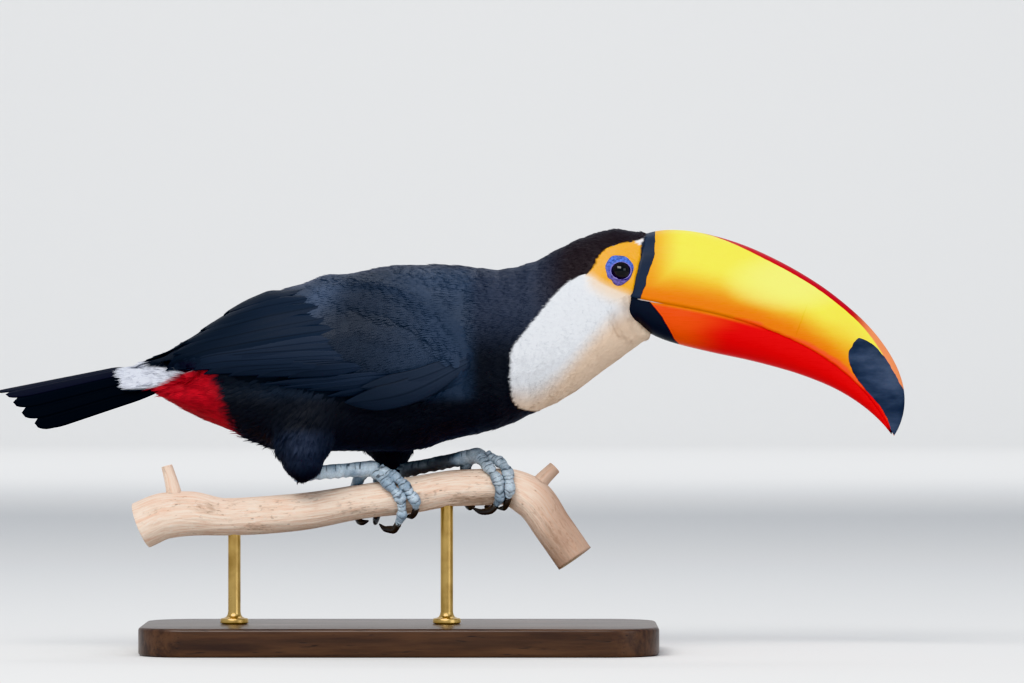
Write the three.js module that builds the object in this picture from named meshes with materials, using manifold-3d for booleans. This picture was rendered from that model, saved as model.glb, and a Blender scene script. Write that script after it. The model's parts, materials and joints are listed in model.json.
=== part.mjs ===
// Life-size display model of a toco toucan. It crouches along a cut length of branch, which two
// short rods hold over a flat base. Millimetres, +Z up, +X the way the bill points, +Y the
// bird's left side. The origin is the middle of the base's underside.
import * as THREE from 'three';
import { mergeVertices } from 'three/addons/utils/BufferGeometryUtils.js';
import Module from 'manifold-3d';

const wasm = await Module();
wasm.setup();

// ---------------------------------------------------------------- driving dimensions

const GAP = 0.3;                  // clear gap kept between pieces that touch

// Slices through head, neck and trunk, square to X, from the tail coverts to the face:
// place along X, top of the back, bottom of the belly, half width, height of the widest point.
const BODY_SLICES = [
  { place: 'covert tips',  x: -178, top: 181.5, bottom: 171.5, half: 11, widest: 176 },
  { place: 'tail base',    x: -160, top: 188, bottom: 167, half: 20, widest: 176 },
  { place: 'rump',         x: -134, top: 198, bottom: 153.5, half: 28, widest: 175 },
  { place: 'vent',         x: -109, top: 214.5, bottom: 142, half: 35, widest: 178 },
  { place: 'loins',        x: -77, top: 231.5, bottom: 129, half: 41.5, widest: 183 },
  { place: 'belly',        x: -38, top: 241.5, bottom: 126.8, half: 45, widest: 187 },
  { place: 'mid back',     x: 0, top: 248, bottom: 126.8, half: 46.5, widest: 190 },
  { place: 'breast',       x: 32, top: 247.7, bottom: 135.6, half: 45.5, widest: 192 },
  { place: 'shoulders',    x: 64, top: 245.2, bottom: 143.4, half: 41, widest: 193 },
  { place: 'neck',         x: 90, top: 251.5, bottom: 154.6, half: 34.5, widest: 201 },
  { place: 'nape',         x: 109, top: 261.8, bottom: 164.2, half: 30.5, widest: 211 },
  { place: 'ear',          x: 128, top: 268.8, bottom: 178.1, half: 28, widest: 221 },
  { place: 'eye',          x: 141, top: 271.4, bottom: 187.5, half: 26, widest: 227 },
  { place: 'lores',        x: 154, top: 269.3, bottom: 197, half: 23.6, widest: 230 },
  { place: 'bill base',    x: 164, top: 268.2, bottom: 203.6, half: 22, widest: 230 },
];
const BODY_FULLNESS = 2.12;       // superellipse power of a slice, 2 is an ellipse
const BODY_STEPS = 28;            // slices lofted
const BODY_SIDES = 26;            // corners of a slice
const BODY_REACH = 400;           // more than any piece is long, for the blocks that cut it

// Cuts that part the body into the pieces a person would name: side-view ends (x, z) of each.
const HEAD_CUT = [[101, 274], [150, 182]];
const NECK_CUT = [[62, 262], [88, 140]];
const COVERT_CUT = [[-137, 215], [-105, 130]];
const WHITE_RED_CUT = [[-195, 163], [-96, 185.5]];

// Bill: side-view Bezier curves (x, z) of the ridge, the mouth line and the lower edge.
const CULMEN = [[158.7, 268.1], [210.7, 284.4], [356.1, 200.8], [316.2, 138.2]];
const TOMIUM = [[148.5, 227.2], [185.2, 218.8], [276.6, 213.7], [314.9, 140.8]];
const GONYS = [[153.6, 208.6], [176.5, 185.5], [274.2, 193.8], [314.6, 139.2]];
const BILL_HALF_WIDTH = 23;       // at the face, where the bill is widest
const BILL_STRAIGHT_TAPER = 0.5;  // share of the width lost evenly along the bill
const BILL_TIP_WIDTH = 0.035;     // share of the width left at the tip
const BILL_FULLNESS = 2.15;       // superellipse power of a slice of the bill
const LOWER_BILL_WIDTH = 0.95;    // of the upper bill's width
const BILL_STEPS = 16;
const BILL_SIDES = 11;            // corners along one slice, from mouth edge to mouth edge

// The bill meets the throat along its lower edge: shares of that edge's length, front to back.
const THROAT_LINE = [0.12, 0.08, 0.04, 0];
const BILL_ZONE = { rise: 20, reach: 60, width: 120 };   // over, in front of and across the face

const EYE = { x: 141, z: 243.8, out: 19.2, radius: 7.6 };   // out: from the middle plane
const EYE_MESH = { around: 12, down: 8 };

// Folded wing: lower and upper edge heights along X, from its tip to the bend, and how thick it is.
const WING_LOWER_EDGE = [[-164, 185], [-150, 182.6], [-134, 180.5], [-109, 176.3], [-70, 171.5],
  [-45, 165.8], [-22, 158], [0, 157.2], [26, 163.8], [41, 174], [47.5, 188]];
const WING_UPPER_EDGE = [[-164, 186.6], [-150, 191.5], [-134, 205], [-90, 245], [-46, 241],
  [-3, 235], [19, 225.3], [32, 212.5], [42, 199.7], [47.5, 192]];
const WING_RIDGE_ANGLE = 0.05;    // radians kept clear of the middle of the back
const WING_LIFT = 1.0;            // clear of the body, whose flat facets it must not touch
const WING_TIP_THICKNESS = 1.6;
const WING_BEND_THICKNESS = 6.2;
const WING_EDGE_THICKNESS = 1.2;
const WING_STEPS = 15;
const WING_ROWS = 6;
const WING_CROWDING = 1.35;       // over 1 sets the slices closer together near the tip
const WING_TAPER_START = 0.4;     // share of the bend's place at which it is thickest
const WING_EDGE_SOFTNESS = 0.6;   // power by which the plate thickens away from its lower edge
const WING_CROWN = 1.25;          // how soon across the plate its crown is reached
const WING_SHOULDER = 0.5;        // share of the crown's thickness kept up to the upper edge
const WING_FRONT = 0.82;          // share of the way to the bend where its front thins

// Tail: a fan of ten feathers arched like a low roof, the middle pair longest and on top.
const TAIL_RIDGE = [[-128, 193.6], [-259, 167.8]];   // side-view line (x, z) of the fan's top
const TAIL_ARCH_RADIUS = [17, 36];                   // at the base and at the end
const TAIL_SHORTENING = [0, 8, 13.5, 19.5, 28];      // of each pair, from the middle outwards
const TAIL_STRIP_ANGLE = 0.28;                       // radians of the arch that each feather shows
const TAIL_THICKNESS = 2;
const TAIL_LAYER_STEP = 0.8;                         // each pair lies this far under the last
const TAIL_TIP_LENGTH = 7;                           // the rounded end of a feather
const TAIL_STEPS = 2;
const TAIL_TIP_CORNERS = [0.3, 0.7];                 // across a feather, where its end turns

// White coverts that drape over the root of the tail: how far down the ridge and round the arch.
const COVERT_DRAPE = { start: 38, end: 59, angle: 1.2, setBack: 13, thickness: 1.5 };
const COVERT_SPREAD = [-1, -0.75, -0.5, -0.25, 0, 0.25, 0.5, 0.75, 1];   // places across it

// Perch: x, y, z and radius along the branch, from the cut end under the tail to the other.
const PERCH_ROUTE = [
  { x: -166, y: 5, z: 81, radius: 14.8 },
  { x: -150, y: 3, z: 87.2, radius: 14.6 },
  { x: -134, y: 1, z: 88.6, radius: 14.2 },
  { x: -112, y: 0, z: 86.8, radius: 11.9 },
  { x: -64, y: 0, z: 89.8, radius: 11.5 },
  { x: -26, y: 0, z: 95.8, radius: 11.3 },
  { x: 6, y: 0, z: 100.3, radius: 12 },
  { x: 38, y: 0, z: 105.4, radius: 11.4 },
  { x: 66, y: 0, z: 105.8, radius: 11.5 },
  { x: 84, y: -1, z: 98.3, radius: 13.2 },
  { x: 98, y: -3, z: 79.8, radius: 12.6 },
  { x: 112, y: -5, z: 60, radius: 12.4 },
];
const PERCH_MESH = { steps: 17, sides: 10 };
const STUB_MESH = { steps: 3, sides: 7, up: [1, 0, 0] };
const TWIG_STUBS = [
  { foot: [-143, 2, 92], end: [-149.5, 4, 119], radii: [6, 3.5] },
  { foot: [84, -1, 102], end: [99, 2, 118], radii: [7, 4.2] },
];

// Legs, the bird's right first. Ankle and knuckle (x, y, z); the thigh's route and radii.
const TARSUS_RADIUS = [4.9, 4.5, 5.1];   // at the ankle, in the middle and at the knuckle
const TARSUS_FLATNESS = 0.78;            // its width against its depth
const TARSUS_MESH = { steps: 4, sides: 8 };
const KNUCKLE_MESH = { around: 8, down: 6 };
const THIGH_MESH = { steps: 7, sides: 12, up: [1, 0, 0], flatness: 0.9 };
const LEGS = {
  right: {
    ankle: [-65, -21, 114.2],
    knuckle: [-18.5, -4.5, 117.6],
    thigh: [[-44, -22, 172], [-58, -26, 146], [-61.5, -25, 129], [-62, -23, 117], [-62.5, -22, 108]],
    thighRadii: [22, 20.5, 19, 14, 3.5],
  },
  left: {
    ankle: [1, 21, 115.6],
    knuckle: [49, 5, 125.6],
    thigh: [[-20, 22, 175], [-14, 26, 150], [-8, 25, 134], [-3, 23, 122], [-1, 22, 113.5]],
    thighRadii: [22, 20.5, 18, 13, 3.5],
  },
};

// Toes: joints from the knuckle to the claw as x, degrees round the perch from its top towards
// the bird's right, and height over the bark. The first two toes of a foot are the hind ones.
const TOE_RADII = [4.1, 3.7, 3.8, 3.4, 2.9];
const CLAW_RADII = [2.6, 2.2, 1.4, 0.4];
const TOE_MESH = { steps: 6, sides: 6, up: [1, 0, 0] };
const CLAW_MESH = { steps: 4, sides: 6, up: [1, 0, 0] };
const TOES = {
  right_1: { joints: [[-20, -2, 8.5], [-27, -25, 4.2], [-30, -62, 3.2], [-29, -102, 3.4], [-27, -132, 4]],
    claw: [[-26.5, -140, 4], [-24, -155, 3.2], [-20, -170, 1.6]] },
  right_4: { joints: [[-17, -8, 8], [-14, -34, 4], [-12, -66, 3.2], [-13, -104, 3.4], [-15, -134, 4]],
    claw: [[-15.5, -142, 4.2], [-16, -156, 4], [-17, -172, 2.4]] },
  right_2: { joints: [[-13, 16, 9], [-0.5, 44, 3.6], [7, 86, 3.3], [10.2, 110, 3.5], [10.4, 126, 4]],
    claw: [[9.6, 133, 4.4], [7.5, 145, 4.2], [2.6, 158, 1.8]] },
  right_3: { joints: [[-16, 20, 8], [-5.8, 60, 3.4], [0.8, 98, 3.5], [1.6, 127, 4.8], [-1.4, 151, 8.4]],
    claw: [[-4.2, 162, 9.4], [-9, 168, 8], [-13.4, 175, 4]] },
  left_1: { joints: [[46.5, -18, 8.5], [42, -40, 4.2], [40, -74, 3.2], [41, -112, 3.4], [43, -134, 4]],
    claw: [[43.5, -140, 4], [45, -152, 3.4], [48, -163, 1.6]] },
  left_4: { joints: [[52, -26, 8.5], [56, -48, 4], [58, -78, 3.2], [58, -114, 3.4], [56.5, -134, 4]],
    claw: [[56.5, -141, 4], [56, -154, 3.2], [54, -168, 1.6]] },
  left_2: { joints: [[50.5, 4, 8], [59, 48, 3.5], [63.5, 84, 3.4], [64, 114, 3.6], [61, 140, 4.6]],
    claw: [[58, 149, 5.6], [52.5, 159, 5.4], [46, 167, 2]] },
  left_3: { joints: [[55, 0, 8.5], [64.5, 20, 5], [69.3, 56, 3.4], [70.4, 92, 3.5], [69, 118, 4]],
    claw: [[68.4, 128, 4.4], [66.6, 144, 4.8], [62.5, 158, 3.4]] },
};

const BASE = { length: 330, width: 150, height: 18, corner: 30, bevel: 2, cornerSteps: 5 };
const ROD = { radius: 4, collarRadius: 9, collarHeight: 3.5, chamfer: 1.5, depthInPerch: 7, sides: 14 };
const RODS = { rear: -106, front: 30 };  // place of each rod along X

const COLOURS = {
  plumage: 0x14161c, bib: 0xf4f0e8, red: 0xb01018, bill: 0xff9a1c, lowerBill: 0xe8361a,
  eye: 0x08080c, leg: 0x9fb0bd, claw: 0x1c1714, bark: 0x9a8068, base: 0x3a2416, rod: 0xb08a4a,
};

// ---------------------------------------------------------------- curves and meshes

const lerp = THREE.MathUtils.lerp;
const smoothstep = THREE.MathUtils.smoothstep;

// A smooth curve of value over x through sorted knots, which never overshoots them.
function curveThrough(knots) {
  const slopes = knots.slice(1).map(([x, v], i) => (v - knots[i][1]) / (x - knots[i][0]));
  const tangents = knots.map((_, i) => {
    if (i === 0) return slopes[0];
    if (i === knots.length - 1) return slopes[i - 1];
    if (slopes[i - 1] * slopes[i] <= 0) return 0;
    return 2 * slopes[i - 1] * slopes[i] / (slopes[i - 1] + slopes[i]);
  });
  return (x) => {
    let i = 0;
    while (i < knots.length - 2 && x > knots[i + 1][0]) i++;
    const [x0, v0] = knots[i];
    const [x1, v1] = knots[i + 1];
    const span = x1 - x0;
    const t = THREE.MathUtils.clamp((x - x0) / span, 0, 1);
    const s = 1 - t;
    return v0 * s * s * (1 + 2 * t) + v1 * t * t * (3 - 2 * t)
      + span * t * s * (tangents[i] * s - tangents[i + 1] * t);
  };
}

function signedVolume(points, index) {
  let sum = 0;
  for (let i = 0; i < index.length; i += 3) {
    const [a, b, c] = [points[index[i]], points[index[i + 1]], points[index[i + 2]]];
    sum += a.dot(new THREE.Vector3().crossVectors(b, c));
  }
  return sum / 6;
}

// A closed mesh from points and triangles, turned so that its faces point out.
function closedGeometry(points, index) {
  if (signedVolume(points, index) < 0) index.reverse();
  const geometry = new THREE.BufferGeometry().setFromPoints(points);
  geometry.setIndex(index);
  return geometry;
}

// A loft through rings that have the same number of points, closed by a fan at each end.
function loft(rings) {
  const sides = rings[0].length;
  const points = rings.flat();
  const index = [];
  for (let i = 0; i < rings.length - 1; i++) {
    for (let j = 0; j < sides; j++) {
      const a = i * sides + j;
      const b = i * sides + (j + 1) % sides;
      index.push(a, b, b + sides, a, b + sides, a + sides);
    }
  }
  for (const [ring, first, turned] of [[rings[0], 0, true], [rings.at(-1), points.length - sides, false]]) {
    const centre = new THREE.Vector3();
    ring.forEach((point) => centre.addScaledVector(point, 1 / sides));
    const hub = points.push(centre) - 1;
    for (let j = 0; j < sides; j++) {
      const pair = [first + j, first + (j + 1) % sides];
      if (turned) pair.reverse();
      index.push(hub, ...pair);
    }
  }
  return closedGeometry(points, index);
}

// A closed shell between two grids of points of the same size, joined by a rim.
function shell(outer, inner) {
  const rows = outer.length;
  const columns = outer[0].length;
  const points = [...outer.flat(), ...inner.flat()];
  const far = rows * columns;
  const index = [];
  const quad = (a, b, c, d) => index.push(a, b, c, a, c, d);
  const at = (i, j) => i * columns + j;
  for (let i = 0; i < rows - 1; i++) {
    for (let j = 0; j < columns - 1; j++) {
      quad(at(i, j), at(i + 1, j), at(i + 1, j + 1), at(i, j + 1));
      quad(far + at(i, j), far + at(i, j + 1), far + at(i + 1, j + 1), far + at(i + 1, j));
    }
  }
  const rim = [];
  for (let i = 0; i < rows - 1; i++) rim.push(at(i, 0));
  for (let j = 0; j < columns - 1; j++) rim.push(at(rows - 1, j));
  for (let i = rows - 1; i > 0; i--) rim.push(at(i, columns - 1));
  for (let j = columns - 1; j > 0; j--) rim.push(at(0, j));
  rim.forEach((a, k) => {
    const b = rim[(k + 1) % rim.length];
    quad(b, a, a + far, b + far);
  });
  return closedGeometry(points, index);
}

// A limb of changing girth along a smooth route, whose ends are closed flat.
// flatness is its width against its depth, up is the way its depth points.
function limb(route, radii, { steps, sides, flatness = 1, up = [0, 0, 1], grow = 0 }) {
  const curve = new THREE.CatmullRomCurve3(route.map((point) => new THREE.Vector3(...point)));
  const girth = curveThrough(radii.map((radius, i) => [i / (radii.length - 1), radius]));
  const upward = new THREE.Vector3(...up);
  const rings = [];
  for (let i = 0; i <= steps; i++) {
    const t = i / steps;
    const tangent = curve.getTangent(t);
    const sideways = new THREE.Vector3().crossVectors(upward, tangent).normalize();
    const depthwise = new THREE.Vector3().crossVectors(tangent, sideways);
    const overrun = (i === 0 ? -grow : 0) + (i === steps ? grow : 0);
    const centre = curve.getPoint(t).addScaledVector(tangent, overrun);
    const radius = girth(t);
    rings.push(Array.from({ length: sides }, (_, j) => {
      const angle = 2 * Math.PI * j / sides;
      return centre.clone()
        .addScaledVector(depthwise, Math.cos(angle) * (radius + grow))
        .addScaledVector(sideways, Math.sin(angle) * (radius * flatness + grow));
    }));
  }
  return loft(rings);
}

// ---------------------------------------------------------------- joining and cutting

function solidOf(source) {
  const bare = source.clone();
  bare.deleteAttribute('normal');
  bare.deleteAttribute('uv');
  const merged = mergeVertices(bare, 1e-4);
  const vertProperties = new Float32Array(merged.attributes.position.array);
  const triVerts = new Uint32Array(merged.index.array);
  return new wasm.Manifold(new wasm.Mesh({ numProp: 3, vertProperties, triVerts }));
}

function geometryOf(solid) {
  const mesh = solid.getMesh();
  const geometry = new THREE.BufferGeometry();
  geometry.setAttribute('position', new THREE.BufferAttribute(mesh.vertProperties, 3));
  geometry.setIndex(new THREE.BufferAttribute(mesh.triVerts, 1));
  return geometry;
}

// The largest body of a solid, so that no crumb of a cut is left beside it.
function largest(solid) {
  return solid.decompose().sort((a, b) => b.volume() - a.volume())[0];
}

function cut(solid, ...tools) {
  return largest(tools.reduce((rest, tool) => rest.subtract(tool), solid));
}

// A block that lies above a side-view line, to share out the body between its pieces.
function blockAbove([start, end], shift) {
  const reach = BODY_REACH;
  const along = new THREE.Vector2(end[0] - start[0], end[1] - start[1]).normalize();
  const normal = new THREE.Vector2(-along.y, along.x);
  const corner = (a, n) => new THREE.Vector2(start[0] + along.x * a + normal.x * n,
    start[1] + along.y * a + normal.y * n);
  const outline = [corner(-reach, shift), corner(reach, shift), corner(reach, reach), corner(-reach, reach)];
  return sidePrism(outline, reach);
}

// An outline in the side view made solid across the whole body.
function sidePrism(outline, depth) {
  const geometry = new THREE.ExtrudeGeometry(new THREE.Shape(outline), { depth, bevelEnabled: false });
  geometry.translate(0, 0, -depth / 2);
  geometry.rotateX(Math.PI / 2);
  return solidOf(geometry);
}

// ---------------------------------------------------------------- head, neck and trunk

const bodyCurves = Object.fromEntries(['top', 'bottom', 'half', 'widest'].map((key) => (
  [key, curveThrough(BODY_SLICES.map((slice) => [slice.x, slice[key]]))])));

// A point on the body at x, at an angle from the middle of the back towards the bird's left.
function bodyPoint(x, angle, grow = 0) {
  const widest = bodyCurves.widest(x);
  const power = 2 / BODY_FULLNESS;
  const across = Math.sin(angle);
  const rise = Math.cos(angle);
  const height = rise > 0 ? bodyCurves.top(x) - widest : widest - bodyCurves.bottom(x);
  return new THREE.Vector3(
    x,
    Math.sign(across) * Math.abs(across) ** power * (bodyCurves.half(x) + grow),
    widest + Math.sign(rise) * Math.abs(rise) ** power * (height + grow),
  );
}

// The angle round the body at which its surface has height z.
function bodyAngle(x, z) {
  const widest = bodyCurves.widest(x);
  const height = z > widest ? bodyCurves.top(x) - widest : widest - bodyCurves.bottom(x);
  const share = THREE.MathUtils.clamp((z - widest) / height, -1, 1);
  return Math.acos(Math.sign(share) * Math.abs(share) ** (BODY_FULLNESS / 2));
}

function bodySolid(grow = 0) {
  const first = BODY_SLICES[0].x;
  const last = BODY_SLICES.at(-1).x;
  const rings = Array.from({ length: BODY_STEPS + 1 }, (_, i) => {
    const x = lerp(first, last, i / BODY_STEPS);
    const overrun = (i === 0 ? -grow : 0) + (i === BODY_STEPS ? grow : 0);
    return Array.from({ length: BODY_SIDES }, (_, j) => {
      const point = bodyPoint(x, 2 * Math.PI * j / BODY_SIDES, grow);
      point.x += overrun;
      return point;
    });
  });
  return solidOf(loft(rings));
}

// ---------------------------------------------------------------- bill and eyes

const bezier = (points) => new THREE.CubicBezierCurve(...points.map(([x, z]) => new THREE.Vector2(x, z)));
const culmen = bezier(CULMEN);
const tomium = bezier(TOMIUM);
const gonys = bezier(GONYS);

function billHalfWidth(t) {
  const taper = BILL_STRAIGHT_TAPER * t + (1 - BILL_STRAIGHT_TAPER - BILL_TIP_WIDTH) * t ** 3;
  return BILL_HALF_WIDTH * (1 - taper);
}

// One half of the bill, from the mouth line to its ridge or its lower edge.
function mandible(edge, width, mouthShift) {
  const rings = [];
  for (let i = 0; i <= BILL_STEPS; i++) {
    const t = i / BILL_STEPS;
    const mouth = tomium.getPointAt(t);
    mouth.y += mouthShift;
    const outer = edge.getPointAt(t);
    const half = billHalfWidth(t) * width;
    rings.push(Array.from({ length: BILL_SIDES }, (_, j) => {
      const angle = Math.PI * j / (BILL_SIDES - 1);
      const rise = Math.sin(angle) ** (2 / BILL_FULLNESS);
      const side = Math.sign(Math.cos(angle)) * Math.abs(Math.cos(angle)) ** (2 / BILL_FULLNESS);
      return new THREE.Vector3(
        lerp(mouth.x, outer.x, rise),
        side * half,
        lerp(mouth.y, outer.y, rise),
      );
    }));
  }
  return solidOf(loft(rings));
}

// The space the bill takes from the head: all in front of the line where it meets the face.
function billZone() {
  const { rise, reach, width } = BILL_ZONE;
  const throat = THROAT_LINE.map((t) => gonys.getPointAt(t)).reverse();
  const outline = [
    new THREE.Vector2(culmen.v0.x, culmen.v0.y + rise),
    culmen.v0,
    tomium.v0,
    ...throat,
    new THREE.Vector2(culmen.v0.x + reach, throat.at(-1).y),
    new THREE.Vector2(culmen.v0.x + reach, culmen.v0.y + rise),
  ].map((point) => new THREE.Vector2(point.x - GAP, point.y));
  return sidePrism(outline, width);
}

function eyeball(side, grow = 0) {
  const ball = new THREE.SphereGeometry(EYE.radius + grow, EYE_MESH.around, EYE_MESH.down);
  ball.translate(EYE.x, side * EYE.out, EYE.z);
  return solidOf(ball);
}

// ---------------------------------------------------------------- wings and tail

const wingLowerEdge = curveThrough(WING_LOWER_EDGE);
const wingUpperEdge = curveThrough(WING_UPPER_EDGE);

// A folded wing, a curved plate that follows the body, thick at the bend and thin at its edges.
function wing(side, grow = 0) {
  const tip = WING_LOWER_EDGE[0][0];
  const bend = WING_LOWER_EDGE.at(-1)[0];
  const outer = [];
  const inner = [];
  for (let i = 0; i <= WING_STEPS; i++) {
    const along = i / WING_STEPS;
    const x = lerp(tip, bend, Math.sin(along * Math.PI / 2) ** WING_CROWDING);
    const low = bodyAngle(x, wingLowerEdge(x) - grow);
    const high = Math.max(bodyAngle(x, wingUpperEdge(x)), WING_RIDGE_ANGLE);
    const fullness = smoothstep(x, tip, bend * WING_TAPER_START);
    const body = lerp(WING_TIP_THICKNESS, WING_BEND_THICKNESS, fullness);
    const front = 1 - smoothstep(along, WING_FRONT, 1);
    outer.push([]);
    inner.push([]);
    for (let j = 0; j <= WING_ROWS; j++) {
      const across = j / WING_ROWS;
      const angle = lerp(low, high, across) * side;
      const crown = Math.sin(Math.PI * Math.min(across * WING_CROWN, 1)) ** WING_EDGE_SOFTNESS;
      const share = Math.min(crown + across * WING_SHOULDER, 1) * front;
      const thickness = lerp(WING_EDGE_THICKNESS, body, share);
      outer[i].push(bodyPoint(x, angle, WING_LIFT + thickness + grow));
      inner[i].push(bodyPoint(x, angle, WING_LIFT));
    }
  }
  return solidOf(shell(outer, inner));
}

const tailLength = Math.hypot(TAIL_RIDGE[1][0] - TAIL_RIDGE[0][0], TAIL_RIDGE[1][1] - TAIL_RIDGE[0][1]);

// A point on the arch of the tail: how far down its ridge, the angle round it, and its depth
// under the outermost layer.
function tailPoint(run, angle, depth) {
  const share = run / tailLength;
  const arch = lerp(...TAIL_ARCH_RADIUS, share);
  const radius = arch - depth;
  return new THREE.Vector3(
    lerp(TAIL_RIDGE[0][0], TAIL_RIDGE[1][0], share),
    Math.sin(angle) * radius,
    lerp(TAIL_RIDGE[0][1], TAIL_RIDGE[1][1], share) - arch + Math.cos(angle) * radius,
  );
}

// The spread tail as one arched plate whose end is scalloped by the ten feather tips.
function tailFan() {
  const pairs = TAIL_SHORTENING.length;
  const lengthOf = (pair) => tailLength - TAIL_SHORTENING[Math.min(pair, pairs - 1)];
  const half = [];
  for (let pair = 0; pair < pairs; pair++) {
    const notch = Math.min(lengthOf(pair), lengthOf(pair + 1)) - TAIL_TIP_LENGTH;
    for (const corner of TAIL_TIP_CORNERS) half.push({ place: pair + corner, pair, length: lengthOf(pair) });
    half.push({ place: pair + 1, pair, length: notch });
  }
  const middle = { place: 0, pair: 0, length: tailLength - TAIL_TIP_LENGTH };
  const mirrored = half.map((column) => ({ ...column, place: -column.place })).reverse();
  const columns = [...mirrored, middle, ...half];
  const surface = (depth) => Array.from({ length: TAIL_STEPS + 1 }, (_, i) => (
    columns.map(({ place, pair, length }) => tailPoint(
      i / TAIL_STEPS * length,
      place * TAIL_STRIP_ANGLE,
      depth + pair * TAIL_LAYER_STEP,
    ))));
  return solidOf(shell(surface(0), surface(TAIL_THICKNESS)));
}

// The white coverts over the root of the tail, whose end is drawn back down the sides.
function covertDrape() {
  const { start, end, angle, setBack, thickness } = COVERT_DRAPE;
  const surface = (depth) => [0, 0.5, 1].map((along) => COVERT_SPREAD.map((across) => {
    const last = end - setBack * across * across;
    return tailPoint(lerp(start, last, along), across * angle, depth);
  }));
  return solidOf(shell(surface(-GAP - thickness), surface(-GAP)));
}

// ---------------------------------------------------------------- perch, legs and toes

const perchCurves = Object.fromEntries(['y', 'z', 'radius'].map((key) => (
  [key, curveThrough(PERCH_ROUTE.map((stop) => [stop.x, stop[key]]))])));

function perchSolid(grow = 0) {
  const route = PERCH_ROUTE.map(({ x, y, z }) => [x, y, z]);
  const radii = PERCH_ROUTE.map(({ radius }) => radius);
  let branch = solidOf(limb(route, radii, { ...PERCH_MESH, grow }));
  for (const stub of TWIG_STUBS) {
    const middle = stub.foot.map((value, i) => (value + stub.end[i]) / 2);
    const twig = limb([stub.foot, middle, stub.end], stub.radii, { ...STUB_MESH, grow });
    branch = branch.add(solidOf(twig));
  }
  return branch;
}

// A place given as x, degrees round the perch and height over its bark.
function onPerch([x, degrees, height]) {
  const angle = THREE.MathUtils.degToRad(degrees);
  const reach = perchCurves.radius(x) + height;
  return [x, perchCurves.y(x) - Math.sin(angle) * reach, perchCurves.z(x) + Math.cos(angle) * reach];
}

const thigh = (leg, grow = 0) => solidOf(limb(leg.thigh, leg.thighRadii, { ...THIGH_MESH, grow }));

// The scaled leg below the thigh, ending in the knuckle that the toes grow from.
function tarsus(leg, grow = 0) {
  const middle = leg.ankle.map((value, i) => (value + leg.knuckle[i]) / 2);
  const options = { ...TARSUS_MESH, flatness: TARSUS_FLATNESS, grow };
  const shank = solidOf(limb([leg.ankle, middle, leg.knuckle], TARSUS_RADIUS, options));
  const { around, down } = KNUCKLE_MESH;
  const knuckle = new THREE.SphereGeometry(TARSUS_RADIUS.at(-1) + grow, around, down);
  knuckle.translate(...leg.knuckle);
  return shank.add(solidOf(knuckle));
}

const toe = ({ joints }, grow = 0) => (
  solidOf(limb(joints.map(onPerch), TOE_RADII, { ...TOE_MESH, grow })));

const claw = ({ joints, claw: tip }) => (
  solidOf(limb([joints.at(-1), ...tip].map(onPerch), CLAW_RADII, CLAW_MESH)));

// ---------------------------------------------------------------- stand

function standBase() {
  const [x, y, r] = [BASE.length / 2 - BASE.bevel, BASE.width / 2 - BASE.bevel, BASE.corner];
  const outline = new THREE.Shape();
  outline.moveTo(-x + r, -y);
  outline.lineTo(x - r, -y);
  outline.absarc(x - r, -y + r, r, -Math.PI / 2, 0);
  outline.lineTo(x, y - r);
  outline.absarc(x - r, y - r, r, 0, Math.PI / 2);
  outline.lineTo(-x + r, y);
  outline.absarc(-x + r, y - r, r, Math.PI / 2, Math.PI);
  outline.lineTo(-x, -y + r);
  outline.absarc(-x + r, -y + r, r, Math.PI, 1.5 * Math.PI);
  const geometry = new THREE.ExtrudeGeometry(outline, {
    depth: BASE.height - 2 * BASE.bevel, bevelThickness: BASE.bevel, bevelSize: BASE.bevel,
    bevelSegments: 1, curveSegments: BASE.cornerSteps,
  });
  geometry.translate(0, 0, BASE.bevel);
  return solidOf(geometry);
}

// A turned rod with a flat collar that stands on the base and ends in a bore in the perch.
function standRod(x, grow = 0) {
  const foot = BASE.height + GAP;
  const head = perchCurves.z(x) - perchCurves.radius(x) + ROD.depthInPerch;
  const profile = [
    [0, foot], [ROD.collarRadius, foot], [ROD.collarRadius, foot + ROD.collarHeight],
    [ROD.radius, foot + ROD.collarHeight + ROD.chamfer], [ROD.radius, head], [0, head],
  ].map(([radius, height], i) => new THREE.Vector2(
    radius && radius + grow,
    height + (i > 3 ? grow : 0),
  ));
  const geometry = new THREE.LatheGeometry(profile, ROD.sides);
  geometry.rotateX(Math.PI / 2);
  geometry.translate(x, 0, 0);
  return solidOf(geometry);
}

// ---------------------------------------------------------------- the whole model

const group = new THREE.Group();

function add(name, solid, colour, roughness, metalness = 0) {
  const geometry = geometryOf(solid);
  geometry.computeVertexNormals();
  const material = new THREE.MeshStandardMaterial({ color: colour, roughness, metalness });
  const mesh = new THREE.Mesh(geometry, material);
  mesh.name = name;
  group.add(mesh);
}

const SIDES = { left: 1, right: -1 };
const body = bodySolid();
const bodySpace = bodySolid(GAP);

// Stand and perch.
const rods = Object.entries(RODS).map(([place, x]) => [`stand_rod_${place}`, x]);
const perch = cut(perchSolid(), ...rods.map(([, x]) => standRod(x, GAP)));
const perchSpace = perchSolid(GAP);
add('stand_base', standBase(), COLOURS.base, 0.35);
rods.forEach(([name, x]) => add(name, standRod(x), COLOURS.rod, 0.3, 1));
add('perch', perch, COLOURS.bark, 0.9);

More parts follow.
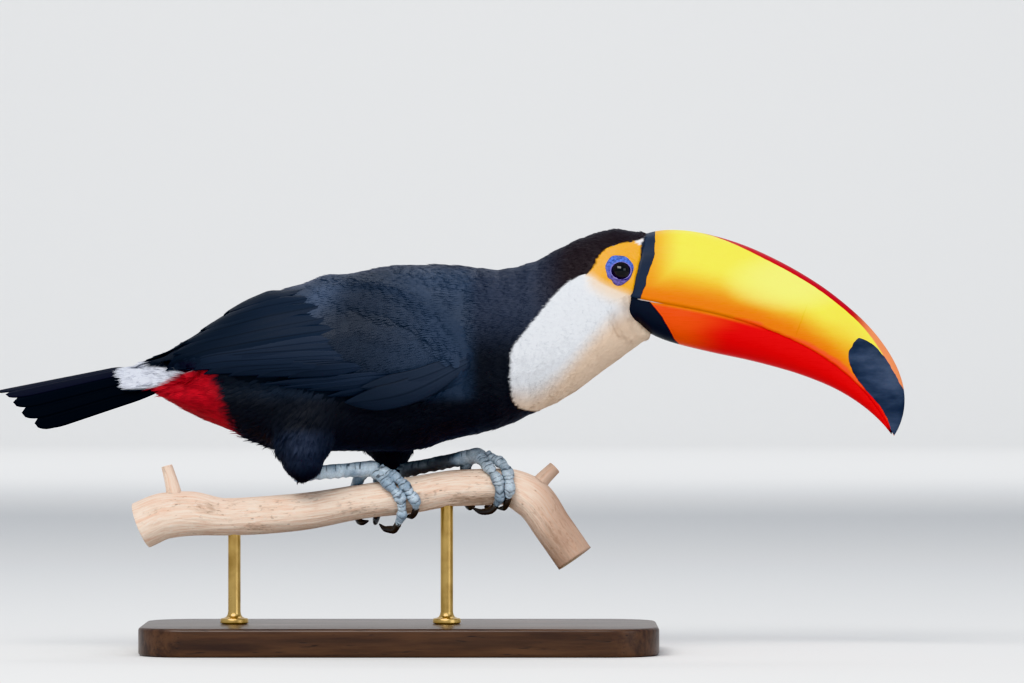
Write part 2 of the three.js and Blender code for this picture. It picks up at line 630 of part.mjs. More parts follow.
// Head, neck, trunk and tail coverts share one smooth body, parted by thin cuts.
const inHead = blockAbove([HEAD_CUT[1], HEAD_CUT[0]], -GAP / 2);
const outOfHead = blockAbove(HEAD_CUT, -GAP / 2);
const inNeck = blockAbove([NECK_CUT[1], NECK_CUT[0]], -GAP / 2);
const outOfNeck = blockAbove(NECK_CUT, -GAP / 2);
const inFront = blockAbove([COVERT_CUT[1], COVERT_CUT[0]], -GAP / 2);
const behind = blockAbove(COVERT_CUT, -GAP / 2);
const above = blockAbove(WHITE_RED_CUT, -GAP / 2);
const below = blockAbove([WHITE_RED_CUT[1], WHITE_RED_CUT[0]], -GAP / 2);
const thighSpaces = Object.values(LEGS).map((leg) => thigh(leg, GAP));
const eyes = Object.entries(SIDES);
add('head', cut(body, inHead, billZone(), ...eyes.map(([, side]) => eyeball(side, GAP))),
  COLOURS.bib, 0.8);
add('neck', cut(body, outOfHead, inNeck), COLOURS.bib, 0.8);
add('trunk', cut(body, outOfNeck, inFront), COLOURS.plumage, 0.7);
add('tail_coverts_upper', cut(body.add(covertDrape()), behind, below), COLOURS.bib, 0.8);
add('tail_coverts_lower', cut(body, behind, above, tailFan()), COLOURS.red, 0.8);
add('tail', cut(tailFan(), bodySpace), COLOURS.plumage, 0.6);
add('bill_upper', mandible(culmen, 1, GAP / 2), COLOURS.bill, 0.25);
add('bill_lower', mandible(gonys, LOWER_BILL_WIDTH, -GAP / 2), COLOURS.lowerBill, 0.25);

for (const [name, side] of eyes) {
  add(`eye_${name}`, eyeball(side), COLOURS.eye, 0.05);
  add(`wing_${name}`, wing(side), COLOURS.plumage, 0.6);
}

// Legs: a toe keeps clear of the perch, the leg and the toes made before it.
for (const [name, leg] of Object.entries(LEGS)) {
  add(`thigh_${name}`, cut(thigh(leg), bodySpace, wing(SIDES[name], GAP)), COLOURS.plumage, 0.8);
  add(`tarsus_${name}`, cut(tarsus(leg), perchSpace, thigh(leg, GAP), bodySpace), COLOURS.leg, 0.6);
  const taken = [perchSpace, tarsus(leg, GAP)];
  for (const digit of [3, 2, 1, 4]) {
    const spec = TOES[`${name}_${digit}`];
    add(`toe_${name}_${digit}`, cut(toe(spec), ...taken), COLOURS.leg, 0.6);
    taken.push(toe(spec, GAP));
  }
  for (const digit of [3, 2, 1, 4]) {
    add(`claw_${name}_${digit}`, cut(claw(TOES[`${name}_${digit}`]), ...taken), COLOURS.claw, 0.3);
  }
}

export default group;
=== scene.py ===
# %% [markdown]
# # A life-size toco toucan on its perch
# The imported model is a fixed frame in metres: +X is the way the bill points, +Y is the bird's
# left, and the floor is at zero. Every piece below is made in that frame, so it needs no fitting.

# %% Load the frame
import json
import math

import bmesh
import bpy
import numpy as np
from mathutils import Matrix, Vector
from mathutils.bvhtree import BVHTree
from mathutils.kdtree import KDTree

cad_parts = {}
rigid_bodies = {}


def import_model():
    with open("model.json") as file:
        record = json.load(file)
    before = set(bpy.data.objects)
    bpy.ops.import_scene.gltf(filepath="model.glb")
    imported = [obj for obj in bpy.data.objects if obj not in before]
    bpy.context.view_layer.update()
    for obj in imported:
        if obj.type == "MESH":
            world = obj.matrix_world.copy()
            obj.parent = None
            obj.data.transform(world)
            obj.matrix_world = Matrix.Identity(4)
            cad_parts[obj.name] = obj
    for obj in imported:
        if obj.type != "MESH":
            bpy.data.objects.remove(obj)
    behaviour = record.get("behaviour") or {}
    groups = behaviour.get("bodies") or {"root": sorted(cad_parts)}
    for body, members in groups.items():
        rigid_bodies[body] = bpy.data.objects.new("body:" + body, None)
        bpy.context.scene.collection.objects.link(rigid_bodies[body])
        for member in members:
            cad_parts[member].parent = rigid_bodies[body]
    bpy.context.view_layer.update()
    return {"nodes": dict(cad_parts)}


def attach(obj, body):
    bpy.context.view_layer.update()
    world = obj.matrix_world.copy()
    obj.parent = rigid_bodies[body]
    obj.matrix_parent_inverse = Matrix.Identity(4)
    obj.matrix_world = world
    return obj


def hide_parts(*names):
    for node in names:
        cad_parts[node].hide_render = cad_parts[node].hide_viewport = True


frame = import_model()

MM = 0.001
SIDES = {"left": 1, "right": -1}

# %% [markdown]
# ## Small tools for curves and noise
# A bird is all smooth curves. A few named heights and widths, joined by a curve that never
# overshoots them, are easier to read and to mend than a dense mesh. The noise is a sum of a few
# sine waves in random directions, which is smooth, quick, and the same on every run.

# %% Curves, blends and noise


def curve_through(knots):
    """A smooth curve of value over place through sorted knots."""
    place, value = np.array(sorted(knots), float).T
    step = np.diff(place)
    slope = np.diff(value) / step
    both = slope[:-1] * slope[1:]
    total = np.where(both > 0, slope[:-1] + slope[1:], 1)
    tangent = np.concatenate([slope[:1], np.where(both > 0, 2 * both / total, 0), slope[-1:]])

    def at(x):
        x = np.clip(x, place[0], place[-1])
        i = np.clip(np.searchsorted(place, x, side="right") - 1, 0, len(step) - 1)
        t = (x - place[i]) / step[i]
        s = 1 - t
        rise = step[i] * t * s * (tangent[i] * s - tangent[i + 1] * t)
        return value[i] * s * s * (1 + 2 * t) + value[i + 1] * t * t * (3 - 2 * t) + rise

    return at


def smooth(low, high, x):
    """0 below low, 1 above high, and an easy slope between."""
    t = np.clip((x - low) / (high - low), 0, 1)
    return t * t * (3 - 2 * t)


def blend(a, b, share):
    return a + (b - a) * share


def wander(points, size, seed, waves=14):
    """Smooth noise from about -1 to 1, with bumps about as wide as size."""
    dice = np.random.default_rng(seed)
    heading = dice.normal(size=(waves, 3))
    heading /= np.linalg.norm(heading, axis=1)[:, None]
    pace = 2 * math.pi / (np.asarray(size, float) * 2) * heading * dice.uniform(0.6, 1.5, (waves, 1))
    phase = dice.uniform(0, 2 * math.pi, waves)
    return np.sin(points @ pace.T + phase).sum(1) / math.sqrt(waves) / 1.2


def unit(vectors):
    return vectors / np.maximum(np.linalg.norm(vectors, axis=-1, keepdims=True), 1e-9)


def around(count):
    """Evenly spaced turns round a whole circle."""
    return np.linspace(0, 2 * math.pi, count, endpoint=False)


def layered(value, *layers):
    """Blends each layer, given as (what, share), over what lies below it."""
    for other, share in layers:
        value = blend(value, other, share if value.ndim == share.ndim else share[:, None])
    return value


def smooth_route(stops, steps):
    """Points along a smooth line through the stops, with what else each stop holds blended too."""
    stops = np.array(stops, float)
    gaps = np.linalg.norm(np.diff(stops[:, :3], axis=0), axis=1)
    place = np.concatenate([[0], np.cumsum(gaps)])
    here = np.linspace(0, place[-1], steps)
    return np.stack([curve_through(list(zip(place, column)))(here) for column in stops.T], 1)


# %% [markdown]
# ## Making meshes from grids
# Bill, toes, perch and feathers are all grids of points: rings along a route, or rows along a
# feather. One helper turns a grid into a mesh, closes it round and at its ends, and keeps named
# values at its points for the materials to read.

# %% Meshes from grids of points


def keep_values(mesh, values, domain="POINT"):
    """Stores each named array on the mesh: one number a point, or three or four for a colour."""
    for label, array in values.items():
        array = np.asarray(array, np.float32)
        wide = array.shape[-1] if array.ndim > 1 else 1
        kind, key = {1: ("FLOAT", "value"), 2: ("FLOAT2", "vector"), 3: ("FLOAT_VECTOR", "vector"),
                     4: ("FLOAT_COLOR", "color")}[wide]
        mesh.attributes.new(label, kind, domain).data.foreach_set(key, array.ravel())


def grid_faces(rows, columns, round_columns, start=0):
    """The four-sided faces of a grid whose points count up row by row."""
    i = np.arange(rows - 1)[:, None]
    j = np.arange(columns if round_columns else columns - 1)[None, :]
    a = i * columns + j
    b = i * columns + (j + 1) % columns
    return (np.stack([a, b, b + columns, a + columns], -1) + start).reshape(-1, 4)


def tube_parts(grid):
    """Points and faces of a closed tube from its rings, with a hub point in each end."""
    rows, columns = grid.shape[:2]
    points = np.concatenate([grid.reshape(-1, 3), grid[:1].mean(1), grid[-1:].mean(1)])
    faces = [tuple(f) for f in grid_faces(rows, columns, True)]
    first, last = rows * columns, rows * columns + 1
    for j in range(columns):
        k = (j + 1) % columns
        faces.append((first, k, j))
        faces.append((last, last - 1 - columns + j, last - 1 - columns + k))
    return points, faces


def ball_grid(rows, columns, gap):
    """Rings of a unit ball round X; gap, in radians, keeps the end rings off the poles."""
    tilt = np.linspace(gap, math.pi - gap, rows)
    turn = around(columns)
    return np.stack([np.outer(np.cos(tilt), np.ones(columns)), np.outer(np.sin(tilt), np.cos(turn)),
                     np.outer(np.sin(tilt), np.sin(turn))], -1)


def rings_along(centre, outward, near, beside):
    """Rings round a route, from how far each point lies outward and how far to the side."""
    forward = unit(np.gradient(centre, axis=0))
    outward = unit(outward - (outward * forward).sum(1)[:, None] * forward)
    sideways = np.cross(outward, forward)
    return centre[:, None] + outward[:, None] * near[:, :, None] + sideways[:, None] * beside[:, :, None]


def in_scene(name, data):
    """A new object that holds the data, linked to the scene."""
    thing = bpy.data.objects.new(name, data)
    bpy.context.scene.collection.objects.link(thing)
    return thing


def new_mesh(name, points, faces, values=None):
    """A smooth mesh object from points in millimetres, outward faces and named values."""
    mesh = bpy.data.meshes.new(name)
    mesh.from_pydata((np.asarray(points) * MM).tolist(), [], [tuple(map(int, f)) for f in faces])
    mesh.polygons.foreach_set("use_smooth", [True] * len(mesh.polygons))
    keep_values(mesh, values or {})
    mesh.update()
    return in_scene(name, mesh)


def turn_outward(thing):
    """Turns every face of a closed mesh so that it looks out."""
    work = bmesh.new()
    work.from_mesh(thing.data)
    bmesh.ops.recalc_face_normals(work, faces=work.faces)
    work.to_mesh(thing.data)
    work.free()
    return thing


def closed_tube(name, grid, values=None):
    return turn_outward(new_mesh(name, *tube_parts(grid), values))


def finished(things, *finishes):
    """Gives each thing these materials and no others."""
    for thing in things:
        thing.data.materials.clear()
        for finish in finishes:
            thing.data.materials.append(finish)


def triangle_count(mesh):
    return int(sum(len(p.vertices) - 2 for p in mesh.polygons))


def read(things, key, width=3, kind=np.float32):
    """What each of the things holds under key, as rows of width numbers."""
    values = np.empty(len(things) * width, kind)
    things.foreach_get(key, values)
    return values.reshape(-1, width)


def read_points(mesh):
    return read(mesh.vertices, "co").astype(float) / MM


def read_normals(mesh):
    return read(mesh.vertex_normals, "vector").astype(float)


def write_points(mesh, points):
    mesh.vertices.foreach_set("co", (points * MM).astype(np.float32).ravel())
    mesh.update()


def baked_copy(thing, name):
    """What the modifiers of thing make, as a plain mesh object; thing itself is removed."""
    bpy.context.view_layer.update()
    graph = bpy.context.evaluated_depsgraph_get()
    made = bpy.data.meshes.new_from_object(
        thing.evaluated_get(graph), preserve_all_data_layers=True, depsgraph=graph)
    bpy.data.objects.remove(thing)
    made.name = name
    return in_scene(name, made)


def joined(first, second, name):
    """One closed surface round both, where they cross."""
    cut = first.modifiers.new("union", "BOOLEAN")
    cut.operation = "UNION"
    cut.solver = "MANIFOLD"
    cut.object = second
    whole = baked_copy(first, name)
    bpy.data.objects.remove(second)
    return whole


# %% [markdown]
# ## Node trees written as sums
# Materials and Geometry Nodes are graphs. Written as Python expressions they stay short:
# a wire is one value on its way through the tree, and adding two wires makes an Add node.

# %% Wires and graphs


class Wire:
    """A socket that takes part in arithmetic."""

    def __init__(self, graph, socket):
        self.graph, self.socket = graph, socket

    def out(self, name):
        return Wire(self.graph, self.socket.node.outputs[name])

    def maths(self, operation, *values):
        return self.graph.node("ShaderNodeMath", {"operation": operation}, dict(enumerate(values)))

    def __add__(self, other):
        return self.maths("ADD", self, other)

    def __sub__(self, other):
        return self.maths("SUBTRACT", self, other)

    def __rsub__(self, other):
        return self.maths("SUBTRACT", other, self)

    def __mul__(self, other):
        return self.maths("MULTIPLY", self, other)

    def __truediv__(self, other):
        return self.maths("DIVIDE", self, other)

    def __rtruediv__(self, other):
        return self.maths("DIVIDE", other, self)

    __radd__ = __add__
    __rmul__ = __mul__

    def between(self, low, high):
        """0 below low, 1 above high; turned round when low is the larger."""
        return self.graph.node(
            "ShaderNodeMapRange", {"interpolation_type": "SMOOTHSTEP"},
            {"Value": self, "From Min": low, "From Max": high, "To Min": 0.0, "To Max": 1.0})

    def sine(self):
        return self.maths("SINE", self)

    def size(self):
        return self.maths("ABSOLUTE", self)


class Graph:
    """A node tree that is filled by one method."""

    def __init__(self, tree):
        self.tree = tree
        tree.nodes.clear()

    def plug(self, socket, value):
        if isinstance(value, Wire):
            self.tree.links.new(value.socket, socket)
        elif isinstance(value, tuple) and len(value) == 3 and socket.type == "RGBA":
            socket.default_value = (*value, 1)
        else:
            socket.default_value = value

    def node(self, kind, settings=None, sockets=None, output=0):
        made = self.tree.nodes.new(kind)
        for key, value in (settings or {}).items():
            setattr(made, key, value)
        for key, value in (sockets or {}).items():
            self.plug(made.inputs[key], value)
        return Wire(self, made.outputs[output])

    def mix(self, first, second, share):
        """Blends two colours by share."""
        return self.node("ShaderNodeMix", {"data_type": "RGBA"}, {0: share, 6: first, 7: second}, 2)

    def layers(self, colour, *over):
        """Lays each tint, given as (tint, share), over the colours below it."""
        for tint, share in over:
            colour = self.mix(colour, tint, share)
        return colour

    def scaled(self, colour, amount):
        return self.node("ShaderNodeVectorMath", {"operation": "SCALE"}, {0: colour, "Scale": amount})

    def value(self, label):
        """A number kept at the mesh's points."""
        return self.node("ShaderNodeAttribute", {"attribute_name": label}, output="Fac")

    def colour(self, label):
        return self.node("ShaderNodeAttribute", {"attribute_name": label}, output="Color")

    def triple(self, label):
        return self.node("ShaderNodeAttribute", {"attribute_name": label}, output="Vector")

    def place(self):
        return self.node("ShaderNodeTexCoord", output="Object")

    def stretched(self, vector, scale, turn):
        return self.node("ShaderNodeMapping", {}, {"Vector": vector, "Scale": scale, "Rotation": turn})

    def axes(self, vector):
        """The X of a vector; its Y and Z are at .out("Y") and .out("Z")."""
        return self.node("ShaderNodeSeparateXYZ", {}, {0: vector}, "X")

    def vector(self, *parts):
        return self.node("ShaderNodeCombineXYZ", {}, dict(enumerate(parts)))

    def noise(self, vector, scale, detail=3.0, roughness=0.5):
        return self.node("ShaderNodeTexNoise", {}, {
            "Vector": vector, "Scale": scale, "Detail": detail, "Roughness": roughness})

    def grain(self, vector, scale, detail=3.0, roughness=0.5, turn=(0.0, 0.0, 0.0)):
        """Noise with its own scale along each axis, so that it can run as streaks."""
        return self.noise(self.stretched(vector, scale, turn), 1.0, detail, roughness)

    def cells(self, vector, scale, feature="F1"):
        return self.node("ShaderNodeTexVoronoi", {"feature": feature}, {"Vector": vector, "Scale": scale})

    def bump(self, height, depth, strength):
        return self.node("ShaderNodeBump", {}, {"Height": height, "Distance": depth, "Strength": strength})


class Paint(Graph):
    """A material whose one shader gets its sockets at the end."""

    def __init__(self, name):
        self.material = bpy.data.materials.new(name)
        self.material.use_nodes = True
        super().__init__(self.material.node_tree)

    def finish(self, **sockets):
        shader = self.tree.nodes.new("ShaderNodeBsdfPrincipled")
        for key, value in sockets.items():
            self.plug(shader.inputs[key.replace("_", " ")], value)
        output = self.tree.nodes.new("ShaderNodeOutputMaterial")
        self.tree.links.new(shader.outputs[0], output.inputs["Surface"])
        return self.material


# %% [markdown]
# ## The markings
# A toco toucan is black with a white bib, a bare orange face, a white rump and a red patch
# under the tail. The edges of these fields are curves in the side view, the same for both
# sides. One function gives the colour at any place, and both the skin and every feather ask
# it, so the two always agree.

# %% Edges and colours of the markings
BIB_EDGE = curve_through([  # height -> place of the bib's hind edge along X
    (150, 100), (153.5, 90), (154.5, 83.2), (156.2, 76.8), (159.4, 73.6), (164.5, 71.7), (174, 70.4),
    (187, 70.4), (195, 72.3), (201.6, 76.8), (209.3, 83.2), (217, 89.6), (225.3, 96), (232.3, 102.4),
    (237.4, 108.8), (240.6, 115.2), (242.2, 121), (243, 128)])
FACE_TOP = curve_through([  # place along X -> height of the bare face's upper edge
    (118.5, 240.5), (120.3, 241.9), (123.5, 245.8), (126.7, 252.2), (131.2, 257.3), (135.7, 259.8),
    (140.8, 261.1), (147.2, 262.3), (151, 262.9), (154.6, 264.2), (157, 265.6), (160, 266.6)])
FACE_FOOT = curve_through([  # place along X -> height of its lower edge, where it fades into the bib
    (118.5, 240.6), (121.6, 240.3), (128, 236.2), (134.4, 233), (140.8, 230.4), (147.8, 227.8), (160, 224)])
RUMP_FRONT = -130.0         # the white of the rump lies behind this
BAND_EDGE = curve_through([  # height -> where the dark band of the bill begins on the skin
    (244, 156), (247, 153.6), (252, 153.7), (256, 153.6), (260, 153.8), (264, 155.6), (266.7, 157),
    (272, 160)])
BILL_EDGE = curve_through([  # height -> where skin ends and horn begins
    (198, 166), (202.2, 161.3), (204.5, 157), (207.4, 153.8), (212, 150.8), (220, 149.2), (227.8, 148.9),
    (237.4, 149.3), (246, 151.1), (254, 153.6), (262, 156.6), (268.2, 158.7), (275, 160)])
# Place along X -> height where white meets red, and where white ends above; then height -> red's front.
WHITE_RED = curve_through([(-186, 166), (-172, 168.6), (-160, 168.6), (-150.4, 172.2), (-140.8, 177.4),
                           (-134.4, 179.2), (-118, 181)])
WHITE_TOP = curve_through([(-174, 204), (-166, 196), (-163.4, 185), (-159.6, 182.8), (-148.7, 182),
                           (-135, 179.8), (-120, 177)])
RED_FRONT = curve_through([(138, -104), (145.3, -107.5), (154.9, -112), (164.5, -115.2), (175.4, -118.4),
                           (182, -120)])

TINTS = {
    "black": (0.0345, 0.0425, 0.0670),
    "wing": (0.0170, 0.0240, 0.0390),
    # the black of the lower body, painted darker as painted shade
    "belly": (0.0050, 0.0060, 0.0095),
    "crown": (0.0190, 0.0128, 0.0145),
    "white": (0.79, 0.805, 0.83),
    "cream": (0.84, 0.64, 0.47),
    "throat": (0.78, 0.62, 0.46),
    "rump": (0.68, 0.70, 0.765),
    "red": (0.43, 0.005, 0.012),
    "face": (0.95, 0.44, 0.008),
    "face_pale": (0.97, 0.60, 0.25),
    "lores": (0.92, 0.86, 0.84),
    "leg": (0.33, 0.43, 0.53),
    "band": (0.022, 0.029, 0.048),
}


def markings(points):
    """Which field each place belongs to, as shares from 0 to 1 of each."""
    x, _, z = points.T
    behind_face = smooth(-0.6, 0.6, FACE_TOP(x) - z) * smooth(117.5, 119.5, x)
    bare = behind_face * smooth(-1.0, 1.0, z - FACE_FOOT(x))
    bib_top = np.where(x > 119, FACE_TOP(x) - 0.6, 242.4)
    bib = smooth(-0.8, 0.8, x - BIB_EDGE(z)) * smooth(-0.5, 0.5, bib_top - z)
    behind = smooth(0.8, -0.8, x - RUMP_FRONT)
    rump = behind * smooth(-0.8, 0.8, z - WHITE_RED(x)) * smooth(0.8, -0.8, z - WHITE_TOP(x))
    below = smooth(0.8, -0.8, z - WHITE_RED(x))
    red = smooth(2.5, -2.5, x - RED_FRONT(z)) * below * smooth(186, 182, z) * smooth(-163.5, -160.5, x)
    return {"bare": bare, "bib": np.clip(bib, 0, 1), "rump": rump, "red": red}


def tint_at(points, bare_face=True):
    """The colour at each place, red green blue and a one."""
    x, y, z = points.T
    fields = markings(points)
    tint = {key: np.array(value) for key, value in TINTS.items()}
    at_rear = smooth(-70, -105, x)
    on_wing = smooth(52, 40, x) * smooth(158, 168, z) * np.maximum(smooth(10, 18, np.abs(y)), at_rear)
    # painted sheen: a lighter patch over the mantle and scapulars
    painted_sheen = np.exp(-(((x + 52 - (z - 225) * 0.4) / 13) ** 2 + ((z - 226) / 15) ** 2))
    # painted sheen: a round lighter patch on the thigh
    ball = np.exp(-(((x + 60) / 15) ** 2 + ((z - 130) / 14) ** 4)) * smooth(146, 138, z)
    on_crown = smooth(80, 110, x)
    lit = (0.85 - 0.45 * at_rear + 1.25 * smooth(-30, 30, x)) * (1 + 0.30 * smooth(218, 238, z))
    low = smooth(24, 4, z - blend(150, 206, smooth(80, 152, x)))
    by_bill = smooth(134, 156, x) * smooth(222, 202, z)
    blush = smooth(14, 0, FACE_FOOT(x) - z) * smooth(116, 124, x)
    # painted shade: the black is darker low on the body and lighter up the back, as light falls from above
    black = blend(tint["belly"], tint["black"], smooth(186, 222, z)[:, None])
    black = layered(black, (tint["wing"] * lit[:, None], on_wing))
    black = black * (1 + 2.2 * painted_sheen[:, None]) + tint["black"] * 0.95 * ball[:, None]
    white = blend(tint["white"], tint["cream"], (0.95 * low)[:, None])
    white = layered(white, (tint["throat"], 0.30 * by_bill), (tint["face_pale"], 0.50 * blush))
    colour = layered(black, (tint["crown"], on_crown), (white, fields["bib"]))
    if bare_face:
        spot = smooth(-0.4, 0.4, x - 149.6) * smooth(-0.4, 0.4, z - 262.2 + (x - 150.4) * 0.75)
        face = blend(tint["face_pale"], tint["face"], smooth(0, 5, z - FACE_FOOT(x))[:, None])
        face = layered(face, (tint["lores"], spot))
        band = smooth(-0.3, 0.3, x - BAND_EDGE(z)) * smooth(246, 248, z)
        colour = layered(colour, (face, fields["bare"]), (tint["band"], band))
    colour = layered(colour, (tint["rump"], fields["rump"]), (tint["red"], fields["red"]))
    return np.concatenate([colour, np.ones((len(points), 1))], 1)


# %% [markdown]
# ## The roof of the tail
# The tail is a low roof along a straight ridge that widens to its end. One function gives any
# place on it, and both the coverts at its root and the tail feathers use it.

# %% Surface of the tail
TAIL_RIDGE = np.array([[-128, 193.6], [-259, 167.8]])
TAIL_LENGTH = float(np.linalg.norm(TAIL_RIDGE[1] - TAIL_RIDGE[0]))
TAIL_ARCH = (20, 39)          # radius of the roof at its root and at its end
TAIL_SHORTENING = (0, 8, 13.5, 19.5, 28)   # of each pair, from the middle pair outward
TAIL_STRIP = 0.295            # radians of the roof that each pair shows


def tail_point(run, turn, depth):
    """A place run along the ridge, turned away from it by turn, and depth under the roof."""
    share = run / TAIL_LENGTH
    arch = blend(*TAIL_ARCH, share)
    radius = arch - depth
    return np.stack([blend(TAIL_RIDGE[0, 0], TAIL_RIDGE[1, 0], share), np.sin(turn) * radius,
                     blend(TAIL_RIDGE[0, 1], TAIL_RIDGE[1, 1], share) - arch + np.cos(turn) * radius], -1)


# %% [markdown]
# ## One skin
# Under the feathers of a mounted bird is one skin. It is made from the solids themselves:
# copies of head, neck, trunk, wings and thighs are joined, remeshed to an even grid, and eased
# until their facets are gone. That outer surface, the envelope, is where feather tips end, and
# the skin lies under it by the depth of the coat.

# %% Join the solids of flesh into one even surface
FLESH = ["head", "neck", "trunk", "tail_coverts_upper", "tail_coverts_lower", "wing_left",
         "wing_right", "thigh_left", "thigh_right"]
THIN = "tail_coverts_upper"   # too thin for the even grid, so a fuller pad of its shape stands in
THIGH_BALL = {"place": (-61, -23.5, 124.5), "size": (16, 14, 16.5)}
OVERLAP = 0.35      # each copy grows by this much, so that the hair gaps between solids close
SKIN_GRID = 1.9     # spacing of the skin's points
EASE_ROUNDS = 26
RIDGE_ROUNDS = 70   # the mantle flows over the wing's upper edge without a step
ROOF_EVERY, ROOF_FRONT = 10, -141.0   # how often, and behind where, the rump is held under its roof
WING_TOP = curve_through([(-164, 186.6), (-150, 191.5), (-134, 205), (-90, 245), (-46, 241), (-3, 235),
                          (19, 225.3), (32, 212.5), (42, 199.7), (47.5, 192)])
RUMP_ROOF = curve_through([(-184, 181.6), (-163, 186.2), (-158, 188.2), (-152, 190.2), (-146, 193.2),
                           (-140, 198)])


def join_solids(names, grow):
    whole = bmesh.new()
    for name in names:
        piece = bmesh.new()
        piece.from_mesh(frame["nodes"][name].data)
        bmesh.ops.remove_doubles(piece, verts=piece.verts, dist=1e-6)
        piece.normal_update()
        for point in piece.verts:
            point.co += point.normal * grow * MM
        part = bpy.data.meshes.new("part")
        piece.to_mesh(part)
        piece.free()
        whole.from_mesh(part)
        bpy.data.meshes.remove(part)
    mesh = bpy.data.meshes.new("flesh")
    whole.to_mesh(mesh)
    whole.free()
    return in_scene("flesh", mesh)


def rump_pad():
    """The pad of coverts that lies over the root of the tail."""
    runs = np.linspace(2, 51, 26)
    turns = np.linspace(-1.3, 1.3, 40)
    rings = []
    for run in runs:
        plump = math.sqrt(max(0.0, 1 - (max(run - 44, 0) / 7.5) ** 2))
        back = run - 8 * (turns / 1.3) ** 2 * smooth(28, 51, run)
        outer = tail_point(back, turns * (0.85 + 0.15 * plump), 0.7 - 0.7 * plump)
        inner = tail_point(back[::-1], turns[::-1] * 0.85, 2.6 + 4.4 * plump)
        rings.append(np.concatenate([outer, inner]))
    return np.array(rings)


def neighbours(mesh):
    """The two ends of every edge."""
    return read(mesh.edges, "vertices", 2, np.int32)


def neighbour_mean(values, pairs):
    """The mean of each point's neighbours, for one number or several a point."""
    values = values.reshape(len(values), -1)
    ends = np.concatenate([pairs[:, 0], pairs[:, 1]])
    others = np.concatenate([pairs[:, 1], pairs[:, 0]])
    count = np.maximum(np.bincount(ends, minlength=len(values)), 1)
    columns = [np.bincount(ends, column[others], minlength=len(values)) / count for column in values.T]
    return np.stack(columns, 1)


def ease(points, pairs, rounds, pull=0.5, push=-0.53):
    """Irons a surface without shrinking it."""
    for _ in range(rounds):
        for share in (pull, push):
            points = points + share * (neighbour_mean(points, pairs) - points)
    return points


flesh = join_solids([name for name in FLESH if name != THIN], OVERLAP)
thigh_ball = np.array(THIGH_BALL["place"]) + ball_grid(24, 32, 0.1) * THIGH_BALL["size"]
for grid in (rump_pad(), thigh_ball):
    extra = closed_tube("extra", grid)
    both = bmesh.new()
    both.from_mesh(flesh.data)
    both.from_mesh(extra.data)
    both.to_mesh(flesh.data)
    both.free()
    bpy.data.objects.remove(extra)
remesh = flesh.modifiers.new("even grid", "REMESH")
remesh.mode = "VOXEL"
remesh.voxel_size = SKIN_GRID * MM
flesh = baked_copy(flesh, "skin")
pairs = neighbours(flesh.data)
points = ease(read_points(flesh.data), pairs, EASE_ROUNDS)
x, _, z = points.T
ridge = smooth(16, 7, np.abs(z - WING_TOP(x))) * (smooth(48, 38, x) * smooth(-150, -130, x))
cleft = smooth(-158, -150, x) * smooth(-114, -126, x) * (smooth(164, 170, z) * smooth(200, 192, z))
pull = 0.5 * np.maximum(ridge, cleft)[:, None]
for k in range(RIDGE_ROUNDS):
    points += pull * (neighbour_mean(points, pairs) - points)
    if k % ROOF_EVERY == 0:
        behind = points[:, 0] < ROOF_FRONT
        points[behind, 2] = np.minimum(points[behind, 2], RUMP_ROOF(points[behind, 0]))
points = ease(points, pairs, 3)
write_points(flesh.data, points)
envelope_tree = BVHTree.FromPolygons(points.tolist(), [tuple(p.vertices) for p in flesh.data.polygons])
print("envelope:", len(points), "points")

# %% [markdown]
# ## How the feathers lie
# Feathers point back from the bill, down the cheeks and thighs, and along the belly. A few
# guide arrows say so at named places; between them the direction is a blend by nearness,
# pressed flat onto the skin.

# %% Guide arrows for the lie of the coat
GUIDES = [  # place (x, y, z), arrow (x, y, z); mirrored to the other side
    ((156, 4, 268), (-1, 0, 0.10)), ((135, 8, 268), (-1, 0, -0.05)), ((105, 10, 258), (-1, 0, -0.45)),
    ((130, 24, 224), (-0.80, 0.1, -0.60)), ((112, 26, 235), (-0.95, 0, -0.35)),
    ((142, 10, 196), (-0.88, 0.1, -0.48)), ((150, 12, 208), (-0.80, 0.15, -0.60)),
    ((95, 12, 160), (-0.95, 0, -0.22)), ((100, 30, 195), (-0.86, 0.05, -0.50)),
    ((75, 36, 215), (-0.96, 0, -0.28)), ((50, 38, 215), (-0.98, 0, -0.22)), ((20, 20, 245), (-1, 0, 0)),
    ((-60, 15, 235), (-1, 0, -0.3)), ((-40, 44, 185), (-0.97, 0, -0.2)), ((45, 38, 165), (-1, 0, -0.15)),
    ((40, 4, 138), (-1, 0, -0.08)), ((-30, 4, 128), (-1, 0, 0.02)), ((-85, 34, 155), (-0.85, 0, -0.45)),
    ((-100, 8, 142), (-0.9, 0, 0.30)), ((-124, 12, 150), (-0.9, 0, 0.38)),
    ((-130, 20, 170), (-0.93, 0, -0.30)), ((-150, 8, 190), (-1, 0, -0.2)),
    ((-150, 20, 175), (-0.96, 0, -0.3)), ((-125, 20, 190), (-1, 0, -0.25)),
]
LEG_GUIDES = [  # these are not mirrored, because the feet stand apart
    ((-50, -34, 158), (-0.45, 0, -0.90)), ((-60, -28, 130), (-0.1, 0, -1)), ((-62, -22, 112), (0, 0, -1)),
    ((-52, -10, 135), (-0.2, 0, -1)), ((-72, -25, 140), (-0.25, 0, -0.95)),
    ((-14, 36, 155), (-0.25, 0, -0.95)), ((-8, 28, 132), (0.1, 0, -1)), ((-2, 22, 116), (0.15, 0, -1)),
    ((-10, 10, 138), (-0.1, 0, -1)), ((-22, 25, 140), (-0.1, 0, -1)),
]


